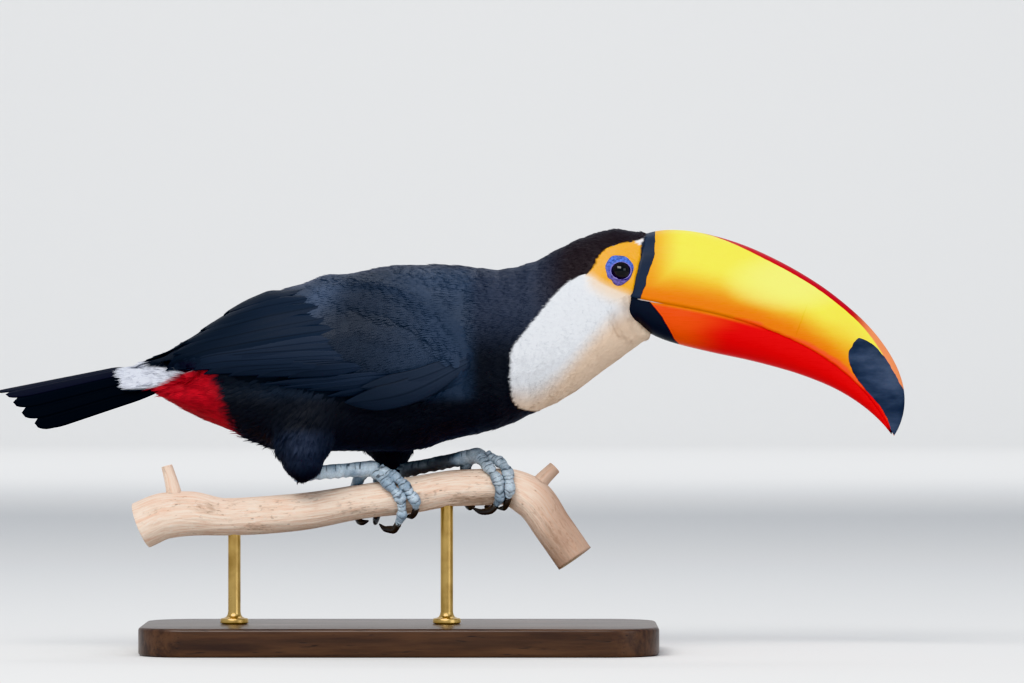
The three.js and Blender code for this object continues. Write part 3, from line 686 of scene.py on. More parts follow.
def lie_at(points, normals):
    """The way a feather points at each place, along the surface."""
    mirrored = [((x, -y, z), (a, -b, c)) for (x, y, z), (a, b, c) in GUIDES]
    places, arrows = (np.array(column, float) for column in zip(*(GUIDES + mirrored + LEG_GUIDES)))
    arrows = unit(arrows)
    total = np.zeros_like(points)
    for place, arrow in zip(places, arrows):
        near = 1 / (np.linalg.norm(points - place, axis=1) + 3) ** 3.5
        total += near[:, None] * arrow
    flat = total - (total * normals).sum(1)[:, None] * normals
    return unit(flat)


# %% [markdown]
# ## Finer skin round the eyes, and the bare face
# The orbital ring of a toucan is naked, pebbled and bright blue, and the lids are thin folds
# that rest on the eyeball. They are real relief, so the skin there is divided into smaller faces
# first and then moved: a dip behind the eyeball, a lid rim, and a raised ring of granules.

# %% Shape the lids and the ring
EYE_PLACE = np.array([141.0, 0.0, 243.8])
EYE_OUT = 19.2
EYE_RADIUS = 7.6
LID_OUT = 4.95                    # how far the lids' edge stands out from the ball's middle
LID_OPENING = (6.1, 5.1)          # half its length and half its height
RING_PLACE = np.array([139.9, 0.0, 244.3])
RING_SIZE = (8.9, 9.7)
EYE_ZONE, CHEEK = 19.0, 12.0      # the skin round an eye: nearer than this to it, farther out than this
FACE_FINE = (17.0, 11.5)          # the faces within these reaches of the eye are halved
FLANK_ROUNDS = 24                 # how often the hollow between wing and thigh is evened out
BILL_MIDDLE = 234.0               # the height toward which the skin tucks in under the horn
COAT_DEPTH = {"body": 1.3, "head": 0.8, "crown": 1.3, "bib": 0.8, "bare": 0.3, "wing": 3.0, "tail": 1.6,
              "thigh": 3.4}


def divide_near_eyes(mesh, reach):
    work = bmesh.new()
    work.from_mesh(mesh)
    x, _, z = EYE_PLACE * MM
    chosen = [e for e in work.edges if all(
        abs(v.co.y) > CHEEK * MM and math.hypot(v.co.x - x, v.co.z - z) < reach * MM for v in e.verts)]
    bmesh.ops.subdivide_edges(work, edges=chosen, cuts=1, use_grid_fill=True, smooth=0)
    work.to_mesh(mesh)
    work.free()


def depth_at(points):
    """How far the skin lies under the feather tips."""
    x, _, z = points.T
    fields = markings(points)
    on_wing = smooth(52, 44, x) * smooth(158, 172, z) * (1 - smooth(226, 240, z) * smooth(-60, -40, x))
    depth = layered(
        np.full(len(points), COAT_DEPTH["body"]),
        (COAT_DEPTH["wing"], on_wing),
        (COAT_DEPTH["head"], smooth(70, 115, x)),
        (COAT_DEPTH["crown"], smooth(132, 142, x) * smooth(250, 262, z)),
        (COAT_DEPTH["bib"], fields["bib"]),
        (COAT_DEPTH["bare"], np.clip(fields["bare"] * 1.2, 0, 1)),
        (COAT_DEPTH["tail"], smooth(-130, -150, x)),
        (COAT_DEPTH["thigh"], smooth(132, 124, z) * (x < 30)))
    return depth * (0.3 + 0.7 * smooth(0.5, 5, BILL_EDGE(z) - x))


def eye_relief(points):
    """New places for the points round each eye, and the two oval measures that colour it."""
    x, y, z = points.T
    side = np.sign(y)
    from_eye = points - EYE_PLACE
    lid = np.hypot(from_eye[:, 0] / LID_OPENING[0], from_eye[:, 2] / LID_OPENING[1])
    across, up = x - RING_PLACE[0], z - RING_PLACE[2]
    bearing = np.arctan2(up, across)
    notch = 0.13 * np.exp(-((bearing + 2.25) / 0.22) ** 2)
    shape = 1 + 0.045 * np.sin(3 * bearing + 0.6) + 0.02 * np.sin(7 * bearing) - notch
    ring = np.hypot(across / RING_SIZE[0], up / RING_SIZE[1]) / shape
    reach = np.hypot(from_eye[:, 0], from_eye[:, 2])
    ball = EYE_OUT + np.sqrt(np.maximum(EYE_RADIUS ** 2 - reach ** 2, 0))
    skin = np.abs(y)
    granules = wander(points, 0.9, 5) * 0.10 + wander(points, 1.7, 6) * 0.10
    ring_body = smooth(1.08, 0.94, ring)
    raised = skin + ring_body * (0.75 + granules)
    ramp = EYE_OUT + LID_OUT - 2.6 * np.maximum(lid - 1.12, 0) + 0.35 * np.exp(-((lid - 1.1) / 0.07) ** 2)
    out = np.maximum(raised, np.where(lid < 1.9, ramp + granules * smooth(1.2, 1.4, lid), 0))
    out = blend(out, ball - 1.3, smooth(1.02, 0.9, lid))
    near = (np.abs(y) > CHEEK) & (reach < 15)
    moved = points.copy()
    moved[near, 1] = (side * out)[near]
    far = np.where(near, 0, 9.0)
    return moved, ring + far, lid + far


for reach in FACE_FINE:
    divide_near_eyes(flesh.data, reach)
pairs = neighbours(flesh.data)
points = read_points(flesh.data)
from_eye = np.hypot(points[:, 0] - EYE_PLACE[0], points[:, 2] - EYE_PLACE[2])
around_eye = (from_eye < EYE_ZONE) & (np.abs(points[:, 1]) > CHEEK)
points[around_eye] = ease(points, pairs, 6)[around_eye]
write_points(flesh.data, points)
normals = read_normals(flesh.data)
thickness = np.full(len(points), 99.0)
for i in np.nonzero((points[:, 0] < -100) | (points[:, 2] < 200))[0]:
    start = points[i] - normals[i] * 0.05
    hit = envelope_tree.ray_cast(Vector(start), Vector(-normals[i]), 12)
    if hit[3] is not None:
        thickness[i] = hit[3]
depth = np.minimum(depth_at(points), thickness * 0.3)
for _ in range(6):
    depth = blend(depth, neighbour_mean(depth, pairs)[:, 0], 0.5)
points = ease(points - normals * depth[:, None], pairs, 2)
x, y, z = points.T
flank = (smooth(-82, -72, x) * smooth(32, 22, x) * smooth(146, 152, z) * smooth(178, 172, z)
         * (np.abs(y) > 26))
for _ in range(FLANK_ROUNDS):
    points += 0.5 * flank[:, None] * (neighbour_mean(points, pairs) - points)
points, ring_oval, lid_oval = eye_relief(points)
x, y, z = points.T
past_edge = x - BILL_EDGE(z)
funnel = 0.26 * smooth(-13, 0.5, past_edge) * smooth(232, 213, z) * (x > 125)
funnel += 0.09 * smooth(-5, 0, past_edge) * smooth(233, 227, z) * (x > 125)
under_bill = 0.20 * smooth(-0.4, 3.2, past_edge + 1.2 * smooth(236, 222, z)) * (x > 140)
y *= (1 - under_bill) * (1 - funnel)
z += (BILL_MIDDLE - z) * under_bill
write_points(flesh.data, points)
print("skin with lids:", len(points), "points,", triangle_count(flesh.data), "triangles")

# %% [markdown]
# ## Legs and toes
# A toucan's foot has two toes forward and two back. Its skin is horny: broad scutes across the
# top, small pads below, and a swelling at each joint. Each toe is a tube along a route round
# the perch, whose radius carries the joints, the grooves between scutes, and the pads.

# %% Routes of the legs and toes
PERCH_STOPS = [  # x, y, z and radius of the branch
    (-166, 5, 81, 14.8), (-150, 3, 87.2, 14.6), (-134, 1, 88.6, 14.2), (-112, 0, 86.8, 11.9),
    (-64, 0, 89.8, 11.5), (-26, 0, 95.8, 11.3), (6, 0, 100.3, 12), (38, 0, 105.4, 11.4),
    (66, 0, 105.8, 11.5), (84, -1, 98.3, 13.2), (98, -3, 79.8, 12.6), (112, -5, 60, 12.4)]
perch_y, perch_z, perch_radius = (
    curve_through([(stop[0], stop[k]) for stop in PERCH_STOPS]) for k in (1, 2, 3))
LEGS = {
    "right": {"ankle": (-65, -21, 114.2), "knuckle": (-18.5, -4.5, 117.6)},
    "left": {"ankle": (1, 21, 115.6), "knuckle": (49, 5, 125.6)},
}
ABOVE_ANKLE = (1.5, 0.0, 5.0)      # from the ankle to where the shank leaves the thigh
SHANK_RADII, KNUCKLE_RADIUS = (5.0, 4.9, 4.5, 5.0), 5.2
TOE_RADII = (4.0, 3.3, 3.5, 3.1, 2.75)
TOES = {  # x, degrees round the perch from its top, height over the bark; then the claw's
    "right_1": ([(-20, -2, 8.5), (-27, -25, 4.2), (-30, -62, 3.2), (-29, -102, 3.4), (-27, -132, 4)],
                [(-26.5, -140, 4), (-24, -155, 3.2), (-20, -170, 1.6)]),
    "right_4": ([(-17, -8, 8), (-14, -34, 4), (-12, -66, 3.2), (-13, -104, 3.4), (-15, -134, 4)],
                [(-15.5, -142, 4.2), (-16, -156, 4), (-17, -172, 2.4)]),
    "right_2": ([(-13, 16, 9), (-0.5, 44, 3.6), (7, 86, 3.3), (10.2, 110, 3.5), (10.4, 126, 4)],
                [(9.6, 133, 4.4), (7.5, 145, 4.2), (2.6, 158, 1.8)]),
    "right_3": ([(-16, 20, 8), (-5.8, 60, 3.4), (0.8, 98, 3.5), (1.6, 127, 4.8), (-1.4, 151, 8.4)],
                [(-4.2, 162, 9.4), (-9, 168, 8), (-13.4, 175, 4)]),
    "left_1": ([(46.5, -18, 8.5), (42, -40, 4.2), (40, -74, 3.2), (41, -112, 3.4), (43, -134, 4)],
               [(43.5, -140, 4), (45, -152, 3.4), (48, -163, 1.6)]),
    "left_4": ([(52, -26, 8.5), (56, -48, 4), (58, -78, 3.2), (58, -114, 3.4), (56.5, -134, 4)],
               [(56.5, -141, 4), (56, -154, 3.2), (54, -168, 1.6)]),
    "left_2": ([(50.5, 4, 8), (59, 48, 3.5), (63.5, 84, 3.4), (64, 114, 3.6), (61, 140, 4.6)],
               [(58, 149, 5.6), (52.5, 159, 5.4), (46, 167, 2)]),
    "left_3": ([(55, 0, 8.5), (64.5, 20, 5), (69.3, 56, 3.4), (70.4, 92, 3.5), (69, 118, 4)],
               [(68.4, 128, 4.4), (66.6, 144, 4.8), (62.5, 158, 3.4)]),
}


def on_perch(x, degrees, height):
    """A place over the bark, from how far round the perch and how high."""
    turn = math.radians(degrees)
    reach = perch_radius(x) + height
    return (x, float(perch_y(x) - math.sin(turn) * reach), float(perch_z(x) + math.cos(turn) * reach))


def scaly_tube(route, radii, out, sides, step, scute, groove, flatness=1.0, knobs=0.55):
    """Rings of a toe or shank. out points away from what it grips; scute is their spacing."""
    path = np.concatenate([np.array(route, float), np.array(radii, float)[:, None]], 1)
    length = np.linalg.norm(np.diff(path[:, :3], axis=0), axis=1).sum()
    rows = int(length / step) + 1
    path = smooth_route(path, rows)
    centre, radius = path[:, :3], path[:, 3]
    run = np.linspace(0, length, rows)
    turn = around(sides)
    top = np.cos(turn)[None, :]
    bulge = np.cos(2 * math.pi * run / (length / 3.6) + 0.5 * np.sin(run * 0.7))
    joints = (knobs * np.sign(bulge) * np.abs(bulge) ** 0.8)[:, None]
    skew = 0.35 * np.abs(np.sin(turn))[None, :] * scute
    uneven = 0.8 * np.sin(run * 0.62 + length) + 0.35 * np.sin(run * 1.7)
    phase = (run[:, None] + skew + uneven[:, None]) / scute
    wave = np.abs(phase - np.round(phase)) * scute
    cut = np.exp(-(wave / 0.44) ** 2)
    cover = smooth(-0.35, 0.25, top)
    pads = 0.28 * smooth(-0.2, -0.9, top) * np.sin(2 * math.pi * run / 5.2)[:, None]
    size = radius[:, None] + joints - groove * cut * cover + pads
    end = np.clip((length - run) / 2.2, 0, 1)[:, None]
    start = np.clip(run / 1.6, 0, 1)[:, None]
    size = size * np.sqrt(1 - (1 - end) ** 2 * 0.96) * np.sqrt(1 - (1 - start) ** 2 * 0.9)
    rings = rings_along(centre, out(centre), size * np.cos(turn), size * flatness * np.sin(turn))
    return rings, cut * cover


def away_from_perch(centre):
    middle = np.stack([centre[:, 0], perch_y(centre[:, 0]), perch_z(centre[:, 0])], 1)
    return unit(centre - middle)


def upward(centre):
    return np.tile([0.0, 0.0, 1.0], (len(centre), 1))


def knuckle_ball(centre, radius, seed):
    """The lumpy joint where the toes meet."""
    ball = ball_grid(18, 28, 0.12)
    lump = 1 + 0.05 * wander(ball.reshape(-1, 3), 0.5, seed).reshape(ball.shape[:2])
    return np.array(centre) + ball * lump[:, :, None] * np.array([radius * 1.25, radius, radius])


leg_tubes = []
for leg in LEGS.values():
    ankle, knuckle = np.array(leg["ankle"], float), np.array(leg["knuckle"], float)
    above = ankle + np.array(ABOVE_ANKLE)
    leg_tubes.append(scaly_tube(
        [above, ankle, (ankle + knuckle) / 2, knuckle], SHANK_RADII, upward,
        sides=26, step=0.55, scute=4.4, groove=0.20, flatness=0.8, knobs=0.12))
    ball = knuckle_ball(knuckle, KNUCKLE_RADIUS, 11)
    leg_tubes.append((ball, np.zeros(ball.shape[:2])))
for joints, _ in TOES.values():
    leg_tubes.append(scaly_tube(
        [on_perch(*j) for j in joints], TOE_RADII, away_from_perch,
        sides=20, step=0.5, scute=3.1, groove=0.46))
print("legs:", len(leg_tubes), "tubes")

# %% [markdown]
# The tubes cross each other and the thighs, so they are united with the skin one by one. What
# comes out is a single closed surface from the face to the toes.

# %% Unite skin, legs and toes
skin = flesh
for k, (rings, _) in enumerate(leg_tubes):
    skin = joined(skin, closed_tube(f"tube_{k}", rings), "skin")
crease_points = np.concatenate([rings.reshape(-1, 3) for rings, _ in leg_tubes])
crease_values = np.concatenate([crease.reshape(-1) for _, crease in leg_tubes])
print("skin united:", len(skin.data.vertices), "points,", triangle_count(skin.data), "triangles")

# %% [markdown]
# ## What the skin knows
# Each point of the skin keeps its colour, the way its feather lies, how long that feather is,
# and what kind of skin it is, from leg and eye ring to bare or feathered. The line that the flat
# map is rolled round, like a label off a tin, is set here too.

# %% Store the colour, lie and length at the skin's points
AXIS_BACK, AXIS_FRONT = (-178.0, 172.0), (164.0, 228.0)   # the line the flat map is rolled round
AXIS_SLOPE = (AXIS_FRONT[1] - AXIS_BACK[1]) / (AXIS_FRONT[0] - AXIS_BACK[0])
LEGS_BELOW, LEG_GAP = 136.0, 0.6   # skin below this, and this near to a leg's tube, is a leg's


def axis_height(x):
    return AXIS_BACK[1] + (x - AXIS_BACK[0]) * AXIS_SLOPE


def feather_length(points):
    x, _, z = points.T
    fields = markings(points)
    bib = fields["bib"]
    thigh = smooth(140, 126, z) * smooth(38, 20, x) * smooth(-96, -86, x)
    return layered(
        np.full(len(points), 11.0),
        (9.0, smooth(150, 140, z)), (9.0, smooth(30, 75, x)), (6.0, smooth(85, 125, x)),
        (3.6, smooth(130, 156, x)), (6.5, bib * smooth(125, 95, x)), (5.0, bib * smooth(105, 135, x)),
        (11.0, smooth(-128, -138, x)), (4.5, smooth(-118, -130, x) * smooth(186, 191, z)),
        (13.0, fields["red"]), (2.8, bib * smooth(10, 2, BILL_EDGE(z) - x)), (6.5, thigh))


points = read_points(skin.data)
normals = read_normals(skin.data)
x, y, z = points.T
lie = lie_at(points, normals)
length = feather_length(points)
shown_at = points + lie * (length * 0.6)[:, None]   # where most of each feather shows
fields = markings(points)
legness = np.zeros(len(points))
crease = np.zeros(len(points))
finder = KDTree(len(crease_points))
for i, place in enumerate(crease_points):
    finder.insert(place, i)
finder.balance()
for i in np.nonzero(z < LEGS_BELOW)[0]:
    _, k, gap = finder.find(points[i])
    if gap < LEG_GAP:
        legness[i], crease[i] = 1.0, crease_values[k]
skin_pairs = neighbours(skin.data)
for _ in range(4):
    legness = np.where(neighbour_mean(legness, skin_pairs)[:, 0] > 0.55, 1.0, legness)
# The left shank is painted dark as dust and painted shade, and the far toes get a little painted shade.
left_shank = smooth(52, 42, x) * smooth(-4, 2, x) * smooth(5, 8, y)
soot_and_painted_shade = legness * np.maximum(left_shank, 0.32 * smooth(36, 46, x))
skin_tint = tint_at(points)
skin_tint[:, :3] = blend(skin_tint[:, :3], np.array(TINTS["leg"]), legness[:, None])
pale_ground = np.clip(fields["bib"] + fields["rump"] + fields["red"] + fields["bare"] + legness, 0, 1)
# painted shade: the ground between the black feathers is darker under the body
shade_under_belly = smooth(40, 28, x) * smooth(190, 176, z)
skin_tint[:, :3] *= (1 - 0.6 * shade_under_belly * (1 - pale_ground))[:, None]
_, ring_oval, lid_oval = eye_relief(points)
feathered = (1 - np.clip(fields["bare"] * 1.5, 0, 1)) * (1 - legness)
feathered *= smooth(0.2, 1.0, BILL_EDGE(z) - x - 1.0 * smooth(254, 261, z))
feathered[ring_oval < 1.05] = 0
keep_values(skin.data, {
    "tint": skin_tint, "lie": lie, "length": length * MM, "leg": legness, "crease": crease,
    "soot_and_painted_shade": soot_and_painted_shade, "ring": ring_oval, "lid": lid_oval, "bare": fields["bare"] * (1 - legness),
    "feathered": feathered})
print("legs hold", int(legness.sum()), "points, feathered", int((feathered > 0.5).sum()))

# %% [markdown]
# The bare skin is finished by what each place is: pebbled orange on the face, blue granules in
# the ring with painted shade between them, horny blue-grey scutes on the legs with grooves painted
# dark as painted shade, and painted dust and shade on the left leg. Where feathers grow it only
# shows as a dark or pale ground between them.

# %% Finish of the skin
RING_TOP = (0.075, 0.170, 0.66)
RING_FOOT = (0.125, 0.090, 0.33)
LID_RIM = (0.26, 0.21, 0.52)
LEG_GROOVE_SHADE = (0.050, 0.060, 0.075)


def skin_paint():
    paint = Paint("bare_skin")
    place = paint.place()
    height = paint.axes(place).out("Z")
    ring, lid = paint.value("ring"), paint.value("lid")
    leg, crease, bare = paint.value("leg"), paint.value("crease"), paint.value("bare")
    pebbles = paint.cells(place, 620.0)
    fine = paint.noise(place, 900.0, 4.0, 0.6)
    blotch = paint.noise(place, 90.0, 3.0)
    seams = paint.cells(place, 520.0, "DISTANCE_TO_EDGE").between(0.0, 0.10)
    colour = paint.colour("tint")
    speckle = blotch * 0.5 + fine * 0.5
    face = paint.mix(colour, paint.scaled(colour, 0.72), speckle.between(0.35, 0.75) * bare)
    up = height.between(0.236, 0.252)
    blue = paint.mix(RING_FOOT, RING_TOP, up)
    # painted shade: the hollows between the granules are painted darker
    blue = paint.mix(paint.scaled(blue, 0.50), blue, pebbles.between(0.85, 0.30))
    blue = paint.mix(blue, paint.scaled(blue, 0.35), ring.between(0.90, 1.0) * 0.7)
    in_ring = ring.between(1.03, 0.97)
    rim = lid.between(0.98, 1.03) * lid.between(1.16, 1.08)
    mottled = paint.mix((0.56, 0.66, 0.74), (0.27, 0.36, 0.45), blotch.between(0.36, 0.64))
    # painted dust and shade: the left shank and the far toes are darkened
    soot_and_painted_shade = paint.value("soot_and_painted_shade") * (blotch.between(0.25, 0.55) * 0.30 + 0.70)
    mottled = paint.mix(mottled, (0.055, 0.052, 0.050), soot_and_painted_shade * 0.9)
    # painted shade: the seams and the grooves between scutes are painted dark
    scaly = paint.mix(LEG_GROOVE_SHADE, mottled, seams * 0.22 + 0.78)
    scaly = paint.mix(scaly, LEG_GROOVE_SHADE, crease.between(0.30, 0.95) * 0.85)
    # painted shade: the skin inside the lids, behind the eyeball, is painted near black
    colour = paint.layers(
        face, (blue, in_ring), (LID_RIM, rim), ((0.006, 0.006, 0.008), lid.between(1.0, 0.95)), (scaly, leg))
    relief = pebbles * (in_ring + 0.18) * -1.0 + seams * leg * 0.2 + fine * 0.35
    return paint.finish(
        Base_Color=colour, Roughness=fine * 0.25 + 0.38 + paint.value("feathered") * 0.5,
        Normal=paint.bump(relief, 0.00035, 0.75),
        Subsurface_Weight=0.06, Subsurface_Radius=(1.0, 0.4, 0.25), Subsurface_Scale=0.002)


finished([skin], skin_paint())
skin.data.polygons.foreach_set("use_smooth", [True] * len(skin.data.polygons))
REPLACED = FLESH + [f"tarsus_{s}" for s in SIDES] + [f"toe_{s}_{k}" for s in SIDES for k in (1, 2, 3, 4)]
print("skin stands for", len(REPLACED), "solids")

# %% [markdown]
# ## Feathers to scatter
# A body feather is a soft vane round a shaft, with barbs that part near the tip. Each kind here
# is one small mesh, one unit long, made in a few variants so that no two neighbours match. It
# stays at a few dozen faces, because it is repeated thousands of times.

# %% Feather kinds


def feather_kind(label, half_width, fingers, split, dome, curl, variants=4):
    """A collection of small feathers: a vane that parts into pointed fingers from split on."""
    shelf = bpy.data.collections.new(label)
    for variant in range(variants):
        dice = np.random.default_rng(100 + variant)
        columns = fingers + 1
        across = np.linspace(-1, 1, columns)
        rows = [0.0, 0.25 * split + 0.1, 0.62 * split + 0.1, split]
        points, faces, along, side = [], [], [], []

        def put(t, c, width):
            height = -dome * c * c * half_width + curl * math.sin(math.pi * min(t, 1)) - 0.02 * (1 - t)
            points.append((t - 0.06 * c * c, c * width * half_width, height))
            along.append(t)
            side.append(c)
            return len(points) - 1

        grid = [[put(t, c, w) for c in across] for t, w in zip(rows, (0.30, 0.75, 1.0, 1.0))]
        for upper, lower in zip(grid, grid[1:]):
            for j in range(columns - 1):
                faces.append((upper[j], upper[j + 1], lower[j + 1], lower[j])[::-1])
        for j in range(fingers):
            middle = (across[j] + across[j + 1]) / 2
            reach = 1.0 - 0.20 * middle ** 2 + dice.uniform(-0.10, 0.06)
            tip = put(reach, middle * dice.uniform(0.70, 0.95), 0.85)
            inner = put((split + reach) / 2, across[j] * 0.80 + middle * 0.20, 0.98)
            outer = put((split + reach) / 2, across[j + 1] * 0.80 + middle * 0.20, 0.98)
            faces.append((grid[-1][j], grid[-1][j + 1], outer, inner)[::-1])
            faces.append((inner, outer, tip)[::-1])
        mesh = bpy.data.meshes.new(f"{label}_{variant}")
        mesh.from_pydata(points, [], faces)
        mesh.polygons.foreach_set("use_smooth", [True] * len(mesh.polygons))
        keep_values(mesh, {"along": along, "across": side})
        mesh.update()
        shelf.objects.link(bpy.data.objects.new(f"{label}_{variant}", mesh))
    print(label, triangle_count(mesh), "triangles each")
    return shelf


KINDS = {
    "velvet": feather_kind("velvet", 0.20, 4, 0.45, 0.40, 0.03),
    "contour": feather_kind("contour", 0.24, 5, 0.62, 0.35, 0.03),
    "wisp": feather_kind("wisp", 0.13, 4, 0.25, 0.30, 0.02),
}

# %% [markdown]
# ## Scattering the coat
# Geometry Nodes put one feather at each of many evenly spaced points on the skin, turn it along
# the lie, tip it up a little, and vary its size. The instances are realized, because only real
# mesh is kept, and each feather gets a tiny patch of the flat map at its root's place, so that
# a colour baked there is its own.

# %% The tree that scatters feathers
PATCH = 0.003   # width of a feather's own patch on the flat map


def coat_tree():
    tree = bpy.data.node_groups.new("coat of feathers", "GeometryNodeTree")
    sockets = [("Skin", "Geometry"), ("Coverage", "String"), ("Spacing", "Float"),
               ("Feathers", "Collection"), ("Lift", "Float"), ("Unrest", "Float"), ("Width", "Float"),
               ("Finish", "Material"), ("Seed", "Int"), ("Map low", "Vector"), ("Map high", "Vector")]
    for label, kind in sockets:
        tree.interface.new_socket(label, in_out="INPUT", socket_type=f"NodeSocket{kind}")
    tree.interface.new_socket("Coat", in_out="OUTPUT", socket_type="NodeSocketGeometry")
    graph = Graph(tree)
    given = graph.node("NodeGroupInput")

    def stored(label, kind):
        return graph.node("GeometryNodeInputNamedAttribute", {"data_type": kind}, {"Name": label})

    def kept(geometry, label, kind, value, domain="POINT"):
        return graph.node("GeometryNodeStoreNamedAttribute", {"data_type": kind, "domain": domain}, {
            "Geometry": geometry, "Name": label, "Value": value})

    def chance(low, high, salt):
        return graph.node("FunctionNodeRandomValue", {"data_type": "FLOAT"}, {
            2: low, 3: high, "Seed": given.out("Seed") + salt}, 1)

    spacing = given.out("Spacing")
    spread = graph.node("GeometryNodeDistributePointsOnFaces", {"distribute_method": "POISSON"}, {
        "Mesh": given.out("Skin"), "Distance Min": spacing, "Density Max": 3.2 / (spacing * spacing),
        "Density Factor": stored(given.out("Coverage"), "FLOAT"), "Seed": given.out("Seed")}, "Points")
    facing = graph.node("FunctionNodeAxesToRotation", {"primary_axis": "X", "secondary_axis": "Z"}, {
        "Primary Axis": stored("lie", "FLOAT_VECTOR"), "Secondary Axis": spread.out("Normal")})
    unrest = given.out("Unrest")
    tip_up = 0.0 - given.out("Lift") * chance(0.75, 1.3, 3)
    lean = graph.vector(chance(-0.5, 0.5, 1) * unrest, tip_up, chance(-0.5, 0.5, 2) * unrest)
    turned = graph.node("FunctionNodeRotateRotation", {"rotation_space": "LOCAL"}, {
        "Rotation": facing, "Rotate By": graph.node("FunctionNodeEulerToRotation", {}, {0: lean})})
    long = stored("length", "FLOAT") * chance(0.82, 1.18, 4)
    wide = long * given.out("Width") * chance(0.85, 1.15, 5)
    size = graph.vector(long, wide, long)
    shelf = graph.node("GeometryNodeCollectionInfo", {}, {
        "Collection": given.out("Feathers"), "Separate Children": True, "Reset Children": True})
    split = graph.axes(graph.node("GeometryNodeInputPosition"))
    over = split.out("Z") - (split * AXIS_SLOPE + (AXIS_BACK[1] - AXIS_BACK[0] * AXIS_SLOPE) * MM)
    turn = split.out("Y").maths("ARCTAN2", split.out("Y"), over)
    rolled = graph.vector(split, turn)
    home = graph.node("ShaderNodeMapRange", {"data_type": "FLOAT_VECTOR"}, {
        6: rolled, 7: given.out("Map low"), 8: given.out("Map high"),
        9: (0.01, 0.01, 0.0), 10: (0.99, 0.99, 1.0)}, 1)
    marked = kept(spread, "home", "FLOAT_VECTOR", home)
    marked = kept(marked, "shade", "FLOAT", chance(0.0, 1.0, 6))
    marked = kept(marked, "ground", "FLOAT_VECTOR", spread.out("Normal"))
    placed = graph.node("GeometryNodeInstanceOnPoints", {}, {
        "Points": marked, "Instance": shelf, "Pick Instance": True, "Rotation": turned, "Scale": size})
    real = graph.node("GeometryNodeRealizeInstances", {}, {"Geometry": placed})
    leaf = graph.vector((stored("along", "FLOAT") - 0.5) * PATCH, stored("across", "FLOAT") * (PATCH / 2))
    patch = graph.node("ShaderNodeVectorMath", {"operation": "ADD"}, {
        0: stored("home", "FLOAT_VECTOR"), 1: leaf})
    mapped = kept(real, "OFBake", "FLOAT2", patch, "CORNER")
    finished = graph.node("GeometryNodeSetMaterial", {}, {
        "Geometry": mapped, "Material": given.out("Finish")})
    end = tree.nodes.new("NodeGroupOutput")
    tree.links.new(finished.socket, end.inputs[0])
    return tree


COAT_TREE = coat_tree()
GROUND_ONLY = ("coverage", "leg", "crease", "soot_and_painted_shade", "ring", "lid", "bare", "feathered", "tint", "lie",
               "length", "home", "ground")   # values of the skin that a grown coat no longer needs
coats = []


def attribute_of(mesh, label, width=3):
    return read(mesh.attributes[label].data, "vector" if width == 3 else "value", width).astype(float)


def soften(mesh, calm):
    """Leans the feathers' normals toward the body's, so that the coat shades as one soft form."""
    own = read_normals(mesh)
    ground = unit(attribute_of(mesh, "ground"))
    own *= np.where((own * ground).sum(1) < 0, -1, 1)[:, None]
    mesh.normals_split_custom_set_from_vertices(unit(blend(own, ground, calm)).tolist())


def grow_coat(name, coverage, kind, spacing, lift, finish, seed, unrest=0.35, width=1.0, calm=0.6, stray=1.2):
    """Grows one piece of the coat where coverage, one number a point of the skin, is above nothing.

    spacing is in millimetres and lift in degrees; unrest turns each feather a little, calm is how
    far it shades with the body, and stray how far, in millimetres, its colour may come from."""
    carrier = in_scene(name + "_ground", skin.data.copy())
    keep_values(carrier.data, {"coverage": coverage})
    grown = coverage > 0.3
    angle = np.arctan2(y, z - axis_height(x))
    low = (float(x[grown].min() * MM) - 1e-4, float(angle[grown].min()) - 1e-3, 0.0)
    high = (float(x[grown].max() * MM) + 1e-4, float(angle[grown].max()) + 1e-3, 1.0)
    settings = {"Coverage": "coverage", "Spacing": spacing * MM, "Feathers": KINDS[kind],
                "Lift": math.radians(lift), "Unrest": unrest, "Width": width, "Finish": finish,
                "Seed": seed, "Map low": low, "Map high": high}
    modifier = carrier.modifiers.new("coat", "NODES")
    modifier.node_group = COAT_TREE
    for item in COAT_TREE.interface.items_tree:
        if item.in_out == "INPUT" and item.name in settings:
            modifier[item.identifier] = settings[item.name]
    piece = baked_copy(carrier, name)
    soften(piece.data, calm)
    place = read_points(piece.data)
    place[:, 0] += (attribute_of(piece.data, "shade", 1)[:, 0] - 0.5) * stray
    keep_values(piece.data, {"feather_tint": tint_at(place, False)})
    for spare in [a.name for a in piece.data.attributes if a.name in GROUND_ONLY]:
        piece.data.attributes.remove(piece.data.attributes[spare])
    coats.append(piece)
    print(f"{name}: {triangle_count(piece.data)} triangles")


# %% [markdown]
# ## What plumage is made of
# Black toucan plumage isn't flat black: barbs lie side by side like silk, take a cool sheen at
# a low angle, and are matt where they part. The bib is softer and whiter, and reflects almost
# everything. All of it reads the colour that the feather brought from its root.

# %% Finish of the feathers


BARBS = 46.0    # how closely the barbs of a body feather are drawn


def plumage(name, rough, sheen, sheen_tint, contrast, root=0.25):
    """A body feather: contrast is between feathers, root how much darker each begins, as painted shade under
    the feather that overlaps it.
    """
    paint = Paint(name)
    along, across, shade = paint.value("along"), paint.value("across"), paint.value("shade")
    streaks = (across.size() * BARBS * 0.42 - along * BARBS).sine() * 0.5 + 0.5
    cloud = paint.noise(paint.place(), 60.0, 3.0)
    light = shade * contrast + (1.0 - contrast * 0.5) + (cloud - 0.5) * contrast
    # painted shade: each feather is darker at its root, where the one above overlaps it
    light = light * (streaks * root * 0.6 + 1.0 - root * 0.4) * (along * root + 1.0 - root * 0.72)
    colour = paint.scaled(paint.colour("feather_tint"), light)
    return paint.finish(
        Base_Color=colour, Roughness=cloud * 0.20 + (rough - 0.08) + streaks * 0.05,
        Normal=paint.bump(streaks, 0.00012, 0.5), Sheen_Weight=sheen, Sheen_Tint=(*sheen_tint, 1),
        Sheen_Roughness=0.35, Specular_IOR_Level=0.35)


